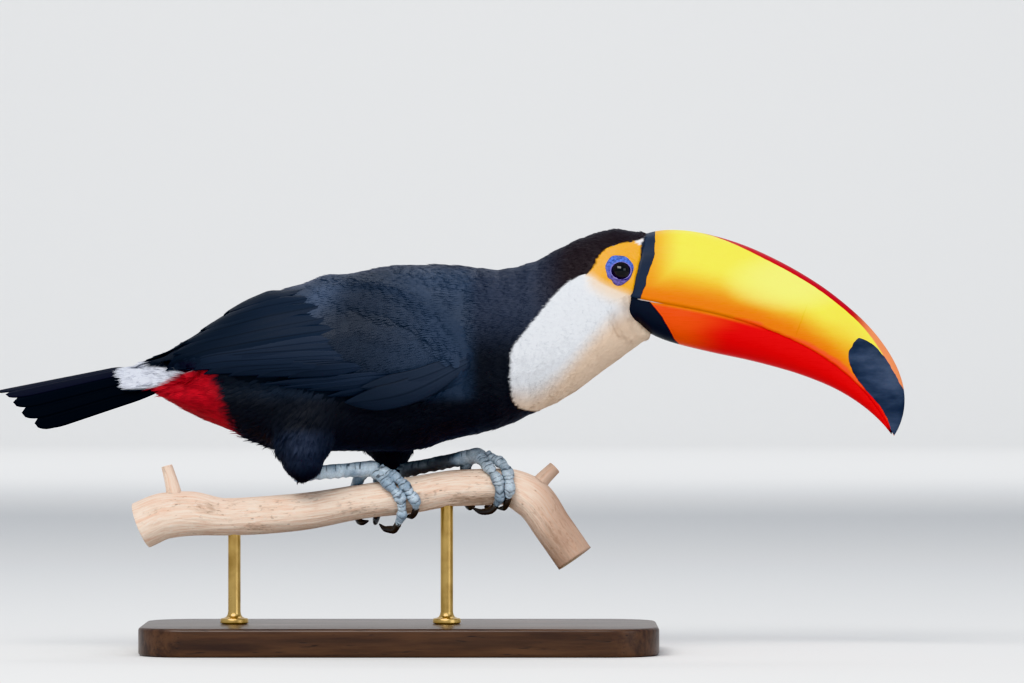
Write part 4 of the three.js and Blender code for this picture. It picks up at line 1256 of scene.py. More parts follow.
def vane_finish(name, shine):
    """Long flight feathers: streaks run their whole length, and the free edges are painted dark as a shadow
    line.
    """
    paint = Paint(name)
    along, across, shade = paint.value("along"), paint.value("across"), paint.value("shade")
    streaks = paint.noise(paint.vector(along * 2.5, across * 9.0, shade * 40.0), 1.0, 4.0, 0.6)
    barbs = ((across.size() * 1.4 + along * 16.0) * 60.0).sine() * 0.5 + 0.5
    edge = across.size().between(0.86, 0.99)
    shaft = across.size().between(0.10, 0.02) * along.between(1.0, 0.75)
    light = (streaks - 0.5) * 0.55 + 0.95 + (shade - 0.5) * 0.22
    # painted shadow: each feather's free edges are darkened
    light = light * (1.0 - edge * 0.60) * (1.0 - shaft * 0.35)
    return paint.finish(
        Base_Color=paint.scaled(paint.colour("feather_tint"), light),
        Roughness=streaks * 0.20 + 0.44 + edge * 0.1,
        Normal=paint.bump(streaks * 0.8 + barbs * 0.04, 0.00026, 0.5), Sheen_Weight=0.03,
        Sheen_Tint=(0.5, 0.6, 0.85, 1), Specular_IOR_Level=shine)


VANE_FINISH = vane_finish("plumage_vane", 0.17)
TAIL_FINISH = vane_finish("plumage_tail", 0.04)
BLACK_FINISH = plumage("plumage_black", 0.52, 0.10, (0.45, 0.55, 0.85), contrast=0.25)
BIB_FINISH = plumage("plumage_white", 0.70, 0.10, (1.0, 1.0, 1.0), contrast=0.05, root=0.05)
SILK_FINISH = plumage("plumage_silk", 0.52, 0.10, (0.45, 0.55, 0.85), contrast=0.12, root=0.10)
RED_FINISH = plumage("plumage_red", 0.60, 0.12, (1.0, 0.35, 0.30), contrast=0.55)
print("finishes for black, white and red feathers")

# %% [markdown]
# ## The body coat, field by field
# The head and throat have the shortest feathers and the closest spacing. The bib is dense and
# silky, the neck and breast are velvety, the vent and thighs are loose and wispy. Each field is
# a share from 0 to 1 at every point of the skin, and a piece of the coat grows on each.

# %% Part the body into fields
shown = markings(shown_at)
bib_share = np.clip(shown["bib"], 0, 1) * (1 - shown["bare"])
red_share = shown["red"]
rump_share = shown["rump"]
black_share = np.clip(1 - bib_share - red_share - rump_share - shown["bare"], 0, 1)
black, pale = feathered * black_share, feathered * bib_share
wing_low_edge = curve_through([
    (-164, 185), (-150, 182.6), (-134, 180.5), (-109, 176.3), (-70, 171.5), (-45, 165.8), (-22, 158),
    (0, 157.2), (26, 163.8), (41, 174), (47.5, 188)])
covert_low_edge = curve_through([(-164, 190), (-134, 186), (-90, 184), (-40, 184), (-15, 176), (10, 179),
                                 (30, 186), (47.5, 190)])
coverts_end = curve_through([(180, -30), (200, -40), (209, -44), (217, -50), (225, -58), (233, -68),
                             (241, -80), (246, -92)])
rump_end = curve_through([(160, -158), (166, -163), (170, -167), (176, -172.5), (182, -172), (190, -170.5)])
under_wing = (smooth(-1, 2, z - wing_low_edge(x)) * smooth(1, -2, z - WING_TOP(x)) * smooth(49, 46, x)
              * (np.abs(y) > 6))
on_thigh = smooth(134, 127, z) * smooth(36, 24, x) * smooth(-94, -88, x)
on_head = smooth(84, 92, x)
on_throat = smooth(112, 118, x)
behind_neck = smooth(36, 28, x)
rear_top = smooth(-112, -120, x) * smooth(182, 187, z)
rear_wing = smooth(4, -4, x - coverts_end(z) + 3.5 * wander(points, 5.0, 77))
print("black, bib, red and rump shares", [round(float(share.sum())) for share in (
    black_share, bib_share, red_share, rump_share)])

# %% Grow the head, the bib and the neck
grow_coat("coat_crown", black * on_head, "velvet", 1.05, 7, SILK_FINISH, 2, unrest=0.25, calm=0.75)
grow_coat("coat_bib", pale * (1 - on_throat), "velvet", 1.15, 3.5, BIB_FINISH, 3,
          unrest=0.14, width=1.1, calm=0.95)
grow_coat("coat_throat", pale * on_throat, "velvet", 0.85, 3, BIB_FINISH, 12,
          unrest=0.14, width=1.1, calm=0.95)
grow_coat("coat_neck", black * (1 - on_head) * smooth(28, 36, x + under_wing * 99) * (1 - under_wing),
          "velvet", 1.5, 6, SILK_FINISH, 4, unrest=0.25, calm=0.8)

# %% Grow the belly, the back and the thighs
belly = black * (1 - under_wing) * behind_neck * (1 - on_thigh) * smooth(206, 196, z) * (1 - rear_top)
grow_coat("coat_belly", belly, "velvet", 1.6, 8, BLACK_FINISH, 5, width=0.75, stray=5)
open_back = (1 - under_wing) * behind_neck * np.maximum(smooth(196, 206, z), rear_top)
beside_left_tip = under_wing * smooth(-116, -124, x) * (y > 4)
grow_coat("coat_back", black * np.maximum(open_back, beside_left_tip),
          "contour", 1.8, 4, SILK_FINISH, 6, unrest=0.16, width=1.15, calm=0.92)
grow_coat("coat_thigh", black * on_thigh, "wisp", 1.15, 9, BLACK_FINISH, 7)

# %% Grow the wing's small feathers, the fringe below it, the rump and the vent
coverts = black * under_wing * (1 - rear_wing) * smooth(-1, 1, z - covert_low_edge(x))
grow_coat("coat_wing", coverts, "contour", 2.0, 2.6, SILK_FINISH, 8, unrest=0.10, width=1.45, calm=0.97)
fringe = smooth(-112, -106, x) * smooth(-66, -72, x) * smooth(150, 146, z) * (1 - on_thigh)
grow_coat("coat_fringe", black * fringe * 0.5, "wisp", 2.4, 22, BLACK_FINISH, 11, unrest=0.9, width=0.5)
rump_root = smooth(-1, 1, x - rump_end(z)) * (1 - smooth(-150, -144, x) * under_wing)
grow_coat("coat_rump", feathered * rump_share * rump_root, "wisp", 1.05, 4, BIB_FINISH, 9,
          unrest=0.2, width=1.1, calm=0.9)
grow_coat("coat_vent", feathered * red_share, "wisp", 1.35, 7, RED_FINISH, 10,
          unrest=0.3, width=1.1, stray=5)

# %% [markdown]
# ## Long feathers of the wing
# Folded, the long feathers of the wing lie one over another like a hand of cards: innermost on
# top, each a little longer than the one above, all running to the tip. They follow the
# envelope, which is read here as a distance from the body's axis at each turn round it.

# %% Read the envelope round the body's axis
ENVELOPE_STEP = 2.0
ENVELOPE_X = np.arange(-176.0, 158.0, ENVELOPE_STEP)
ENVELOPE_TURNS = np.linspace(-math.pi * 0.86, math.pi * 0.86, 130)
OUTSIDE, BARE_AXIS = 160, 20    # where each look inward starts, and the radius kept where it meets nothing


def read_envelope():
    reach = np.zeros((len(ENVELOPE_X), len(ENVELOPE_TURNS)))
    for i, place in enumerate(ENVELOPE_X):
        centre = Vector((place, 0, axis_height(place)))
        for j, turn in enumerate(ENVELOPE_TURNS):
            arm = Vector((0, math.sin(turn), math.cos(turn)))
            hit = envelope_tree.ray_cast(centre + arm * OUTSIDE, -arm, OUTSIDE)
            reach[i, j] = OUTSIDE - hit[3] if hit[3] is not None else BARE_AXIS
    return reach


def blur(field, rounds):
    for _ in range(rounds):
        field = np.pad(field, 1, mode="edge")
        field = (field[1:-1, 1:-1] * 2 + field[:-2, 1:-1] + field[2:, 1:-1] + field[1:-1, :-2]
                 + field[1:-1, 2:]) / 6
    return field


ENVELOPE = blur(read_envelope(), 3)


def envelope_reach(x, turn):
    """Distance from the axis to the envelope, read between the stored values."""
    turn_step = ENVELOPE_TURNS[1] - ENVELOPE_TURNS[0]
    i = np.clip((x - ENVELOPE_X[0]) / ENVELOPE_STEP, 0, len(ENVELOPE_X) - 1.001)
    j = np.clip((turn - ENVELOPE_TURNS[0]) / turn_step, 0, len(ENVELOPE_TURNS) - 1.001)
    a, b = i.astype(int), j.astype(int)
    s, t = i - a, j - b
    return ((ENVELOPE[a, b] * (1 - s) + ENVELOPE[a + 1, b] * s) * (1 - t)
            + (ENVELOPE[a, b + 1] * (1 - s) + ENVELOPE[a + 1, b + 1] * s) * t)


def on_envelope(x, turn, lift):
    reach = envelope_reach(x, turn) + lift
    return np.stack([x, np.sin(turn) * reach, axis_height(x) + np.cos(turn) * reach], -1)


def turn_for_height(x, z, side):
    """The turn round the axis at which the envelope has this height, on one side."""
    low, high = np.full_like(x, 0.02), np.full_like(x, 2.4)
    for _ in range(22):
        middle = (low + high) / 2
        too_high = on_envelope(x, side * middle, 0)[..., 2] > z
        low, high = np.where(too_high, middle, low), np.where(too_high, high, middle)
    return side * (low + high) / 2


print("envelope radius from", round(ENVELOPE.min(), 1), "to", round(ENVELOPE.max(), 1), "mm")

# %% Lay the long feathers


def width_profile(t, pointed):
    """Half width of a vane along its length, as a share of its widest."""
    body = 0.45 + 0.55 * smooth(0, 0.35, t)
    start = blend(0.86, 0.66, pointed)
    end = np.clip((t - start) / (1 - start), 0, 1)
    tip = np.sqrt(np.maximum(1 - end ** 2, 0)) * (1 - pointed) + (1 - end ** 1.4) * pointed
    return body * np.maximum(tip, 0.02)


class Vanes:
    """Collects long feathers, then makes them one piece."""

    def __init__(self, name):
        self.name, self.points, self.faces, self.values, self.patches = name, [], [], [], []

    def add(self, grid, along, across, shade, home, tone):
        start = sum(len(p) for p in self.points)
        rows, columns = grid.shape[:2]
        self.points.append(grid.reshape(-1, 3))
        self.faces.extend(grid_faces(rows, columns, False, start))
        tones = np.broadcast_to(tone, (*along.shape, 3)).reshape(-1, 3)
        flat = np.column_stack([along.ravel(), across.ravel(), np.full(along.size, shade), tones])
        self.values.append(flat)
        patch = np.array(home) + np.stack([(along.ravel() - 0.5), across.ravel() / 2], 1) * PATCH
        self.patches.append(patch)

    def make(self, finish, tint, thickness):
        points, values = np.concatenate(self.points), np.concatenate(self.values)
        colour = np.concatenate([np.array(tint) * values[:, 3:], np.ones((len(points), 1))], 1)
        piece = new_mesh(self.name, points, self.faces, {
            "along": values[:, 0], "across": values[:, 1], "shade": values[:, 2], "feather_tint": colour})
        home = np.concatenate(self.patches)
        low, high = home.min(0), home.max(0)
        home = 0.01 + 0.98 * (home - low) / (high - low)
        loops = read(piece.data.loops, "vertex_index", 1, np.int32)[:, 0]
        keep_values(piece.data, {"OFBake": home[loops]}, "CORNER")
        piece.data.materials.append(finish)
        wall = piece.modifiers.new("thickness", "SOLIDIFY")
        wall.thickness = thickness * MM
        wall.offset = -1
        piece = baked_copy(piece, self.name)
        coats.append(piece)
        print(f"{self.name}: {len(self.points)} feathers, {triangle_count(piece.data)} triangles")


def wing_vane(vanes, side, root, tip, half, lift, pointed, tone, bow=0.0, cross=0.0, rows=26, columns=9,
              hug=0.0, fade=0.55):
    """One feather over the envelope, from root to tip as (x, z) seen from the side.

    bow arches it upward, cross takes its tip over the back, and hug draws a narrow tip down."""
    t = np.linspace(0, 1, rows)
    centre_x = blend(root[0], tip[0], t)
    narrowed = half * (1 - width_profile(t, pointed)) * smooth(0.5, 0.7, t)
    centre_z = blend(root[1], tip[1], t) + bow * np.sin(math.pi * t) - hug * narrowed
    turn = turn_for_height(centre_x, centre_z, side)
    turn = blend(turn, -0.50 * side, cross * smooth(0.60, 0.98, t))
    reach = envelope_reach(centre_x, turn)
    forward = unit(np.stack([np.gradient(centre_x), np.gradient(turn) * reach], 1))
    c = np.linspace(-1, 1, columns)
    off = half * width_profile(t, pointed)[:, None] * c[None, :]
    x = centre_x[:, None] - off * forward[:, 1:2]
    turns = turn[:, None] + off * forward[:, 0:1] / reach[:, None]
    frayed = wander(np.column_stack([t * 40, np.full((rows, 2), tip)]), 3.0, 21) * 0.25
    x = x + (np.abs(c[None, :]) > 0.9) * frayed[:, None]
    rise = blend(-3.2, lift, smooth(0.0, 0.55, t))[:, None] - 0.45 * c[None, :] ** 2
    rise = rise + 0.15 * np.exp(-(c[None, :] / 0.2) ** 2)
    grid = on_envelope(x, turns, rise)
    along = np.repeat(t[:, None], columns, 1)
    across = np.repeat(c[None, :], rows, 0)
    shade = 0.5 + 0.5 * math.sin(tip[0] * 0.7 + tip[1] * 2.3 + side)
    home = ((root[0] + tip[0]) / 2 / 342 + 0.5, turn.mean() / (2 * math.pi) + 0.5)
    vanes.add(grid, along, across, shade, home, np.array(tone) * (1 - fade * along[:, :, None]))


TERTIALS = [  # root, tip, half width, pointed; the innermost feather first, on top of the others
    ((-60, 235), (-112, 217), 7.5, 0.40), ((-51, 230), (-127, 207), 7.5, 0.45),
    ((-43, 225), (-137, 199), 7.5, 0.50), ((-37, 217), (-144, 192.5), 7.2, 0.55),
    ((-32, 209), (-148, 188), 7.0, 0.60), ((-29, 202), (-149, 185.4), 6.3, 0.7),
    ((-25, 196), (-147, 187.0), 5.2, 0.7), ((-24, 191), (-137, 184.4), 4.6, 0.6),
    ((-23, 187), (-124, 181.8), 4.4, 0.6), ((-22, 184.5), (-108, 180.5), 4.2, 0.6),
    ((-21, 183), (-90, 179.7), 4.2, 0.6), ((-19, 182), (-70, 179.4), 4.2, 0.6),
]
PRIMARIES = [  # the long feathers whose edges show below; root, tip, half width, pointed
    ((4, 178), (-88, 171.2), 2.6, 0.95), ((4, 176), (-75, 169.2), 2.7, 0.95),
    ((4, 174), (-58, 167.6), 2.8, 0.95), ((5, 172), (-45, 163.6), 3.0, 0.95),
    ((6, 169), (-33, 160.6), 3.2, 0.95),
]
LOBE = [((44, 187), (-24, 170), 6.0, 0.8, -3.0), ((45, 184.5), (-34, 161.2), 9.2, 0.8, -5.6)]   # and bow
UPPER_TERTIALS, LEFT_TIP_TERTIALS = 5, 7   # how many show dark on top, and how many cross the rump
TOP_TONE, LOW_TONE, LOBE_TONE = (1.75, 1.55, 1.5), (3.2, 2.5, 2.2), (4.6, 3.4, 2.75)
LEFT_TIP = {"back": 14.0, "up": 1.0}   # the far wing's tip lies across the rump, behind the near one
for side_name, side in SIDES.items():
    vanes = Vanes(f"wing_feathers_{side_name}")
    for rank, (root, tip, half, pointed) in enumerate(TERTIALS):
        shift = smooth(-120, -146, tip[0]) * (side_name == "left") * (rank < LEFT_TIP_TERTIALS)
        tip = (tip[0] - shift * LEFT_TIP["back"], tip[1] + shift * LEFT_TIP["up"])
        sunk = shift * (0.9 + 0.4 * max(rank - 3, 0))
        upper = rank < UPPER_TERTIALS
        wing_vane(vanes, side, root, tip, half, 1.8 - rank * 0.12 - sunk, pointed,
                  TOP_TONE if upper else LOW_TONE, cross=shift, hug=0.9 if rank > 3 else 0.4,
                  fade=0.72 if upper else 0.60 + 0.24 * shift)
    for rank, (root, tip, half, pointed) in enumerate(PRIMARIES):
        wing_vane(vanes, side, root, tip, half, -0.3 - rank * 0.12, pointed, LOW_TONE)
    for rank, (root, tip, half, pointed, bow) in enumerate(LOBE):
        wing_vane(vanes, side, root, tip, half, 1.2 + rank * 0.7, pointed, LOBE_TONE, bow=bow,
                  rows=34, columns=15)
    vanes.make(VANE_FINISH, np.array(TINTS["wing"]) * (0.52, 0.62, 0.68), 0.3)

# %% [markdown]
# ## The tail
# Ten tail feathers form a low roof, the middle pair on top and longest, each pair below it
# shorter. Seen from the side the roof shows a bright upper plane and a dark lower one, and the
# lower pairs are painted dark as painted shade.

# %% Lay the tail feathers
TAIL_PAIRS = 5
TAIL_ROWS, TAIL_COLUMNS = 46, 11
TAIL_ROOT = 12.0      # how far down the ridge the feathers begin


def tail_vane(vanes, pair, side):
    rows, columns = TAIL_ROWS, TAIL_COLUMNS
    t = np.linspace(0, 1, rows)[:, None]
    c = np.linspace(-1, 1, columns)[None, :]
    length = TAIL_LENGTH - TAIL_SHORTENING[pair]
    centre = side * TAIL_STRIP * (pair + 0.40)
    turn = centre + c * 0.23 * width_profile(t, 0.12)
    fray = wander(np.column_stack([t * 60, np.full((rows, 2), (pair, 0))]), 4, 31)[:, None]
    run = TAIL_ROOT + (length - TAIL_ROOT) * t + (np.abs(c) > 0.8) * 0.7 * fray
    shaft = 0.20 * np.exp(-(c / 0.10) ** 2)
    under_twin = (side < 0) * 0.3 * (pair == 0)
    depth = pair * 0.62 + 0.35 * c * c + 0.10 * side * c - shaft + under_twin
    depth = depth + 0.6 + 2.6 * smooth(58, 40, run)
    grid = tail_point(run, turn, depth)
    along = np.repeat(t, columns, 1)
    across = np.repeat(c, rows, 0)
    # painted shade: the lower three pairs are painted near black, and each lower pair a little darker
    tone = (0.80, 0.58, 0.52) if pair < 2 else 0.12
    home = (pair / TAIL_PAIRS + 0.1, 0.5 + 0.4 * centre / 1.3)
    vanes.add(grid, along, across, 0.75 - 0.17 * pair, home, tone)


tail = Vanes("tail_feathers")
for pair in reversed(range(TAIL_PAIRS)):
    for side in (1, -1):
        tail_vane(tail, pair, side)
tail.make(TAIL_FINISH, TINTS["wing"], 0.35)

# %% [markdown]
# ## The bill
# The bill is a thin horn sheath: two halves of a long curved cone, smooth as polished nail, with
# hard-edged black at the base and the tip and soft blends of yellow, orange and red between.
# Both halves are lofts between the same three side-view curves as the solids, much finer. The
# edges of the colours are kept as distances at the points and turned into crisp lines by the
# material, so that they don't depend on the mesh.

# %% Curves of the bill
CULMEN = ((158.7, 268.1), (210.7, 284.4), (356.1, 200.8), (316.2, 138.2))
TOMIUM = ((148.5, 227.2), (185.2, 218.8), (276.6, 213.7), (314.9, 140.8))
GONYS = ((153.6, 208.6), (176.5, 185.5), (274.2, 193.8), (314.6, 139.2))
BILL_HALF_WIDTH, BILL_LENGTH = 23.0, 205
BILL_ROUNDNESS = 2.15   # 2 is an oval section, more is fuller
BILL_ROWS, BILL_COLUMNS = 230, 91
TUCK = 7            # rings of the bill that run back into the head


def even_bezier(stops, shares):
    """Points along a Bezier curve, evenly spaced by length."""
    p = np.array(stops, float)
    t = np.linspace(0, 1, 600)[:, None]
    line = ((1 - t) ** 3 * p[0] + 3 * t * (1 - t) ** 2 * p[1] + 3 * t * t * (1 - t) * p[2] + t ** 3 * p[3])
    place = np.concatenate([[0], np.cumsum(np.linalg.norm(np.diff(line, axis=0), axis=1))])
    place /= place[-1]
    return np.stack([np.interp(shares, place, line[:, 0]), np.interp(shares, place, line[:, 1])], 1)


BAND_FRONT = curve_through([  # height -> front edge of the black band, upper half of the bill
    (220, 152.0), (227.2, 153.9), (231.7, 155.5), (235.5, 157.1), (239.4, 157.6), (244.5, 159.4),
    (249.6, 161.3), (254.1, 162.6), (260.5, 162.9), (269.4, 163.4), (275, 163.6)])
LOWER_BAND_FRONT = curve_through([
    (190, 182), (196.2, 179.2), (199.7, 176), (204.8, 172.8), (210.6, 169.6), (215.7, 166.4), (219.5, 163.2),
    (223.4, 160), (225, 156.8), (228, 152.6)])
TIP_BACK = curve_through([   # height -> hind edge of the black tip
    (138, 317), (140.8, 314.6), (145.9, 313), (153, 309.8), (159.4, 305.3), (164.5, 300.8), (170.2, 295.7),
    (176, 291.2), (182.4, 288), (186.9, 286.7), (192.6, 286.7), (195.6, 289.0), (198.0, 289.9), (201, 292.9),
    (206, 298)])
TIP_FRONT = curve_through([  # height -> front edge of the black tip, below the ridge
    (160, 330), (166, 324), (169, 321.6), (174.1, 318.7), (179.8, 315.5), (186.2, 311.7), (192, 307.2),
    (196.5, 302.7), (199.7, 297.6), (201.5, 292.5), (206, 286)])
RED_EDGE = curve_through([   # place along X -> top of the red along the mouth of the upper half
    (205, 214), (227.2, 209.3), (236.8, 204.2), (249.6, 199.7), (262.4, 194.6), (275.2, 187.5),
    (284.8, 181.1), (291.2, 174.1), (300.8, 166.4), (307.2, 158.7), (313.6, 145.3)])
LOWER_RED_EDGE = curve_through([(150, 206), (170, 208), (180, 210), (192, 211.2), (204.8, 211.2),
                                (224, 209.5), (320, 205)])


def bill_half(name, edge, width, upper):
    """One half of the bill: rings from its outer edge over the side to the mouth and back inside."""
    shares = np.linspace(0, 1, BILL_ROWS)
    mouth = even_bezier(TOMIUM, shares)
    outer = even_bezier(edge, shares)
    half = BILL_HALF_WIDTH * (1 - (0.5 * shares + 0.465 * shares ** 3)) * width
    angle = np.linspace(0, math.pi, BILL_COLUMNS)
    rise = np.sin(angle) ** (2 / BILL_ROUNDNESS)
    swing = np.sign(np.cos(angle)) * np.abs(np.cos(angle)) ** (2 / BILL_ROUNDNESS)
    mouth_line = mouth.copy()
    mouth[:, 1] -= (0.35 if upper else -0.25) * smooth(0, 0.03, 1 - shares)
    run_mm = np.column_stack([shares * BILL_LENGTH, np.zeros((BILL_ROWS, 2))])
    nick = 0.16 * wander(run_mm, 3.0, 41) * smooth(0.3, 0.5, shares)
    mouth[:, 1] -= nick * smooth(0, 0.1, 1 - shares)
    x = mouth[:, None, 0] + (outer - mouth)[:, None, 0] * rise[None, :]
    z = mouth[:, None, 1] + (outer - mouth)[:, None, 1] * rise[None, :]
    side = swing[None, :] * half[:, None]
    rings = np.stack([x, side, z], -1)
    growth = 0.10 * np.sin(shares * BILL_LENGTH / 7.0 + 0.6 * np.sin(shares * 11)) * smooth(0.02, 0.2, shares)
    lumps = 0.10 * wander(rings.reshape(-1, 3), 18, 42).reshape(x.shape)
    sideways = np.sign(side) * (np.abs(side) / np.maximum(half[:, None], 1)) ** 1.1
    up = np.repeat(rise[None, :], BILL_ROWS, 0) * (1 if upper else -1)
    outwards = np.stack([np.zeros_like(x), sideways, up], -1)
    fade = smooth(0, 0.06, 1 - shares)[:, None]
    rings = rings + unit(outwards) * ((growth[:, None] * 0.4 + lumps) * fade)[:, :, None]
    inner_y = -swing[1:-1] * 0.86
    palate = (0.8 if upper else -0.8) * smooth(0, 0.05, 1 - shares)[:, None]
    inside = np.stack([np.repeat(mouth[:, None, 0], BILL_COLUMNS - 2, 1), inner_y[None, :] * half[:, None],
                       np.repeat(mouth[:, None, 1], BILL_COLUMNS - 2, 1) + palate], -1)[:, ::6]
    rings = np.concatenate([rings, inside], 1)
    drop = np.concatenate([np.hypot(x - outer[:, None, 0], z - outer[:, None, 1]),
                           np.full(inside.shape[:2], 99.0)], 1)
    back = rings[:1]
    tucks = []
    for k in range(TUCK, 0, -1):
        share = k / TUCK
        shrunk = back.mean(1, keepdims=True) + (back - back.mean(1, keepdims=True)) * (1 - 0.10 * share)
        tucks.append(shrunk - np.array([8.0 * share, 0, 0]))
    grid = np.concatenate([*tucks, rings])
    drop = np.concatenate([np.repeat(drop[:1], TUCK, 0), drop])
    points, faces = tube_parts(grid)
    gx, gz = points[:, 0], points[:, 2]
    mouth_height = np.interp(gx, mouth_line[:, 0], mouth_line[:, 1])
    values = {
        "drop": np.concatenate([drop.ravel(), [9, 0]]),
        "over_mouth": (gz - mouth_height) * (1 if upper else -1),
    }
    if upper:
        values["tip_edge"] = np.minimum(gx - TIP_BACK(gz), TIP_FRONT(gz) - gx)
        values["band_edge"] = BAND_FRONT(gz) - gx
        values["red_edge"] = RED_EDGE(gx) - gz + smooth(215, 200, gx) * -12
    else:
        values["band_edge"] = LOWER_BAND_FRONT(gz) - gx
        values["red_edge"] = LOWER_RED_EDGE(gx) - gz
    piece = turn_outward(new_mesh(name, points, faces, values))
    print(f"{name}: {triangle_count(piece.data)} triangles")
    return piece


bill_upper = bill_half("bill_upper_horn", CULMEN, 1.0, True)
bill_lower = bill_half("bill_lower_horn", GONYS, 0.965, False)

# %% Finish of the bill
YELLOW, AMBER, ORANGE = (1.0, 0.90, 0.080), (0.80, 0.262, 0.0), (0.72, 0.115, 0.0)
SCARLET, CRIMSON, SALMON = (0.70, 0.001, 0.001), (0.50, 0.001, 0.010), (0.90, 0.30, 0.12)
BILL_BLACK, SLATE = (0.006, 0.007, 0.012), (0.042, 0.056, 0.090)


def bill_paint(name, upper):
    paint = Paint(name)
    place = paint.place()
    parts = paint.axes(place)
    x, z = parts * 1000.0, parts.out("Z") * 1000.0
    drop, mouth = paint.value("drop"), paint.value("over_mouth")
    edge_noise = (paint.noise(place, 260.0, 4.0, 0.6) - 0.5) * 2.0
    cloud = paint.grain(place, (22.0, 60.0, 60.0), 4.0, 0.55)
    fibres = paint.grain(place, (90.0, 1400.0, 1400.0), 3.0, 0.6, (0.0, 0.35, 0.0))
    band = (paint.value("band_edge") + edge_noise * 0.7).between(-0.22, 0.22)
    red = paint.value("red_edge") + (cloud - 0.5) * 7.0 + edge_noise * 0.5
    if upper:
        low = (mouth + (cloud - 0.5) * 9.0).between(31.0, 3.0)
        base = x.between(182.0, 158.0)
        tip = x.between(268.0, 298.0) * (mouth + (cloud - 0.5) * 8.0).between(44.0, 16.0)
        warm = low.maths("MAXIMUM", low, base * 0.85)
        # painted highlight: a broad pale patch over the middle of the upper half
        pale = ((x - 250.0) * (x - 250.0) / 1500.0 + (z - 237.0) * (z - 237.0) / 300.0).between(1.6, 0.0)
        under = paint.mix((0.93, 0.075, 0.003), SCARLET, red.between(-0.5, 3.0))
        width = x.between(188.0, 240.0) * 3.3 + x.between(294.0, 314.0) * 1.4
        strip = (width - drop + edge_noise * 0.25).between(-0.3, 0.3) * x.between(187.0, 193.0)
        rim = paint.mix(CRIMSON, SALMON, x.between(288.0, 304.0))
        black = (paint.value("tip_edge") + edge_noise * 0.8).between(-0.25, 0.25)
        patch = paint.mix((0.006, 0.012, 0.030), (0.075, 0.100, 0.160), cloud.between(0.30, 0.75))
        colour = paint.layers(
            YELLOW, (AMBER, warm), (ORANGE, low * low * low * 0.55), ((1.0, 0.97, 0.22), pale * 0.85),
            (AMBER, tip * 0.5), (under, red.between(-4.0, -0.5)), (rim, strip), (patch, black))
        band_colour = paint.mix(BILL_BLACK, SLATE, cloud * 0.6 + 0.35)
    else:
        lip = mouth.between(3.2, 0.4) * x.between(236.0, 200.0)
        colour = paint.layers(
            SCARLET, ((0.80, 0.075, 0.0), x.between(222.0, 178.0) * 0.97),
            ((0.48, 0.002, 0.002), x.between(238.0, 285.0) * 0.85),
            (SCARLET, red.between(-1.0, 9.0) * x.between(176.0, 214.0)),
            (AMBER, lip * 0.8), ((0.0, 0.0, 0.0), x.between(311.0, 314.5)))
        band_colour = paint.mix(BILL_BLACK, SLATE, cloud * 0.25)
    crack_line = (x - 256.8 - (z - 213.5) * 0.37 + edge_noise * 0.8).size().between(0.7, 0.15)
    crack_line = crack_line * z.between(200.0, 206.0) * z.between(227.0, 219.0)
    colour = paint.mix(colour, paint.scaled(colour, 0.80), crack_line * 0.6)
    colour = paint.mix(colour, paint.scaled(colour, 0.90), fibres.between(0.45, 0.75) * 0.8)
    colour = paint.mix(colour, band_colour, band)
    if not upper:
        # painted highlight: a pale line along the lower half's rim at the gape
        at_gape = x.between(151.0, 153.0) * x.between(170.0, 160.0)
        painted_lip_highlight = (mouth + edge_noise * 0.2).between(1.3, 0.8) * at_gape
        colour = paint.mix(colour, (0.70, 0.66, 0.62), painted_lip_highlight)
    scratches = paint.grain(place, (60.0, 900.0, 900.0), 5.0, 0.7, (0.0, 0.5, 0.0))
    relief = cloud * 0.5 + scratches * 0.30 - crack_line * 0.2 + band * 0.35
    return paint.finish(
        Base_Color=colour, Roughness=scratches * 0.22 + 0.26 + band * 0.08,
        Normal=paint.bump(relief, 0.00030, 0.55), Specular_IOR_Level=0.16,
        Coat_Weight=0.03, Coat_Roughness=0.2,
        Subsurface_Weight=0.04, Subsurface_Radius=(1.0, 0.35, 0.1), Subsurface_Scale=0.003)


finished([bill_upper], bill_paint("bill_upper_horn", True))
finished([bill_lower], bill_paint("bill_lower_horn", False))
print("bill: two halves in yellow, orange, red and black")

# %% [markdown]
# ## Eyes
# A toucan's eye is dark brown, nearly black, and wet: what makes it live is a clear bulge over
# a darker pupil and a crisp highlight. The ball is a turned shape with the cornea's bulge, and
# the iris and pupil are drawn by distance from its pole.

# %% Turn the eyeballs
EYE_RINGS, EYE_SPOKES = 48, 64


def eyeball(side_name):
    side = SIDES[side_name]
    polar = np.linspace(0.02, math.pi - 0.02, EYE_RINGS)
    bulge = 0.55 * smooth(0.75, 0.0, polar)
    radius = EYE_RADIUS + bulge
    turn = around(EYE_SPOKES)
    out = np.outer(np.cos(polar) * radius, np.ones(EYE_SPOKES)) * side
    across = np.outer(np.sin(polar) * radius, np.cos(turn))
    up = np.outer(np.sin(polar) * radius, np.sin(turn))
    grid = np.stack([EYE_PLACE[0] + across, side * EYE_OUT + out, EYE_PLACE[2] + up], -1)
    pole = np.concatenate([np.repeat(np.sin(polar) * radius, EYE_SPOKES), [0, 0]])
    return closed_tube(f"eyeball_{side_name}", grid, {"pole": pole})


def eye_paint():
    paint = Paint("eye")
    pole = paint.value("pole")
    spokes = paint.grain(paint.place(), (700.0, 700.0, 700.0), 4.0)
    iris = paint.mix((0.004, 0.003, 0.003), (0.013, 0.009, 0.008), spokes.between(0.35, 0.7))
    colour = paint.mix((0.0015, 0.0015, 0.002), iris, pole.between(2.9, 3.2))
    colour = paint.mix(colour, (0.006, 0.006, 0.010), pole.between(4.9, 5.6))
    return paint.finish(Base_Color=colour, Roughness=spokes * 0.02 + 0.03, Specular_IOR_Level=0.3,
                        Coat_Weight=0.4, Coat_Roughness=0.01)


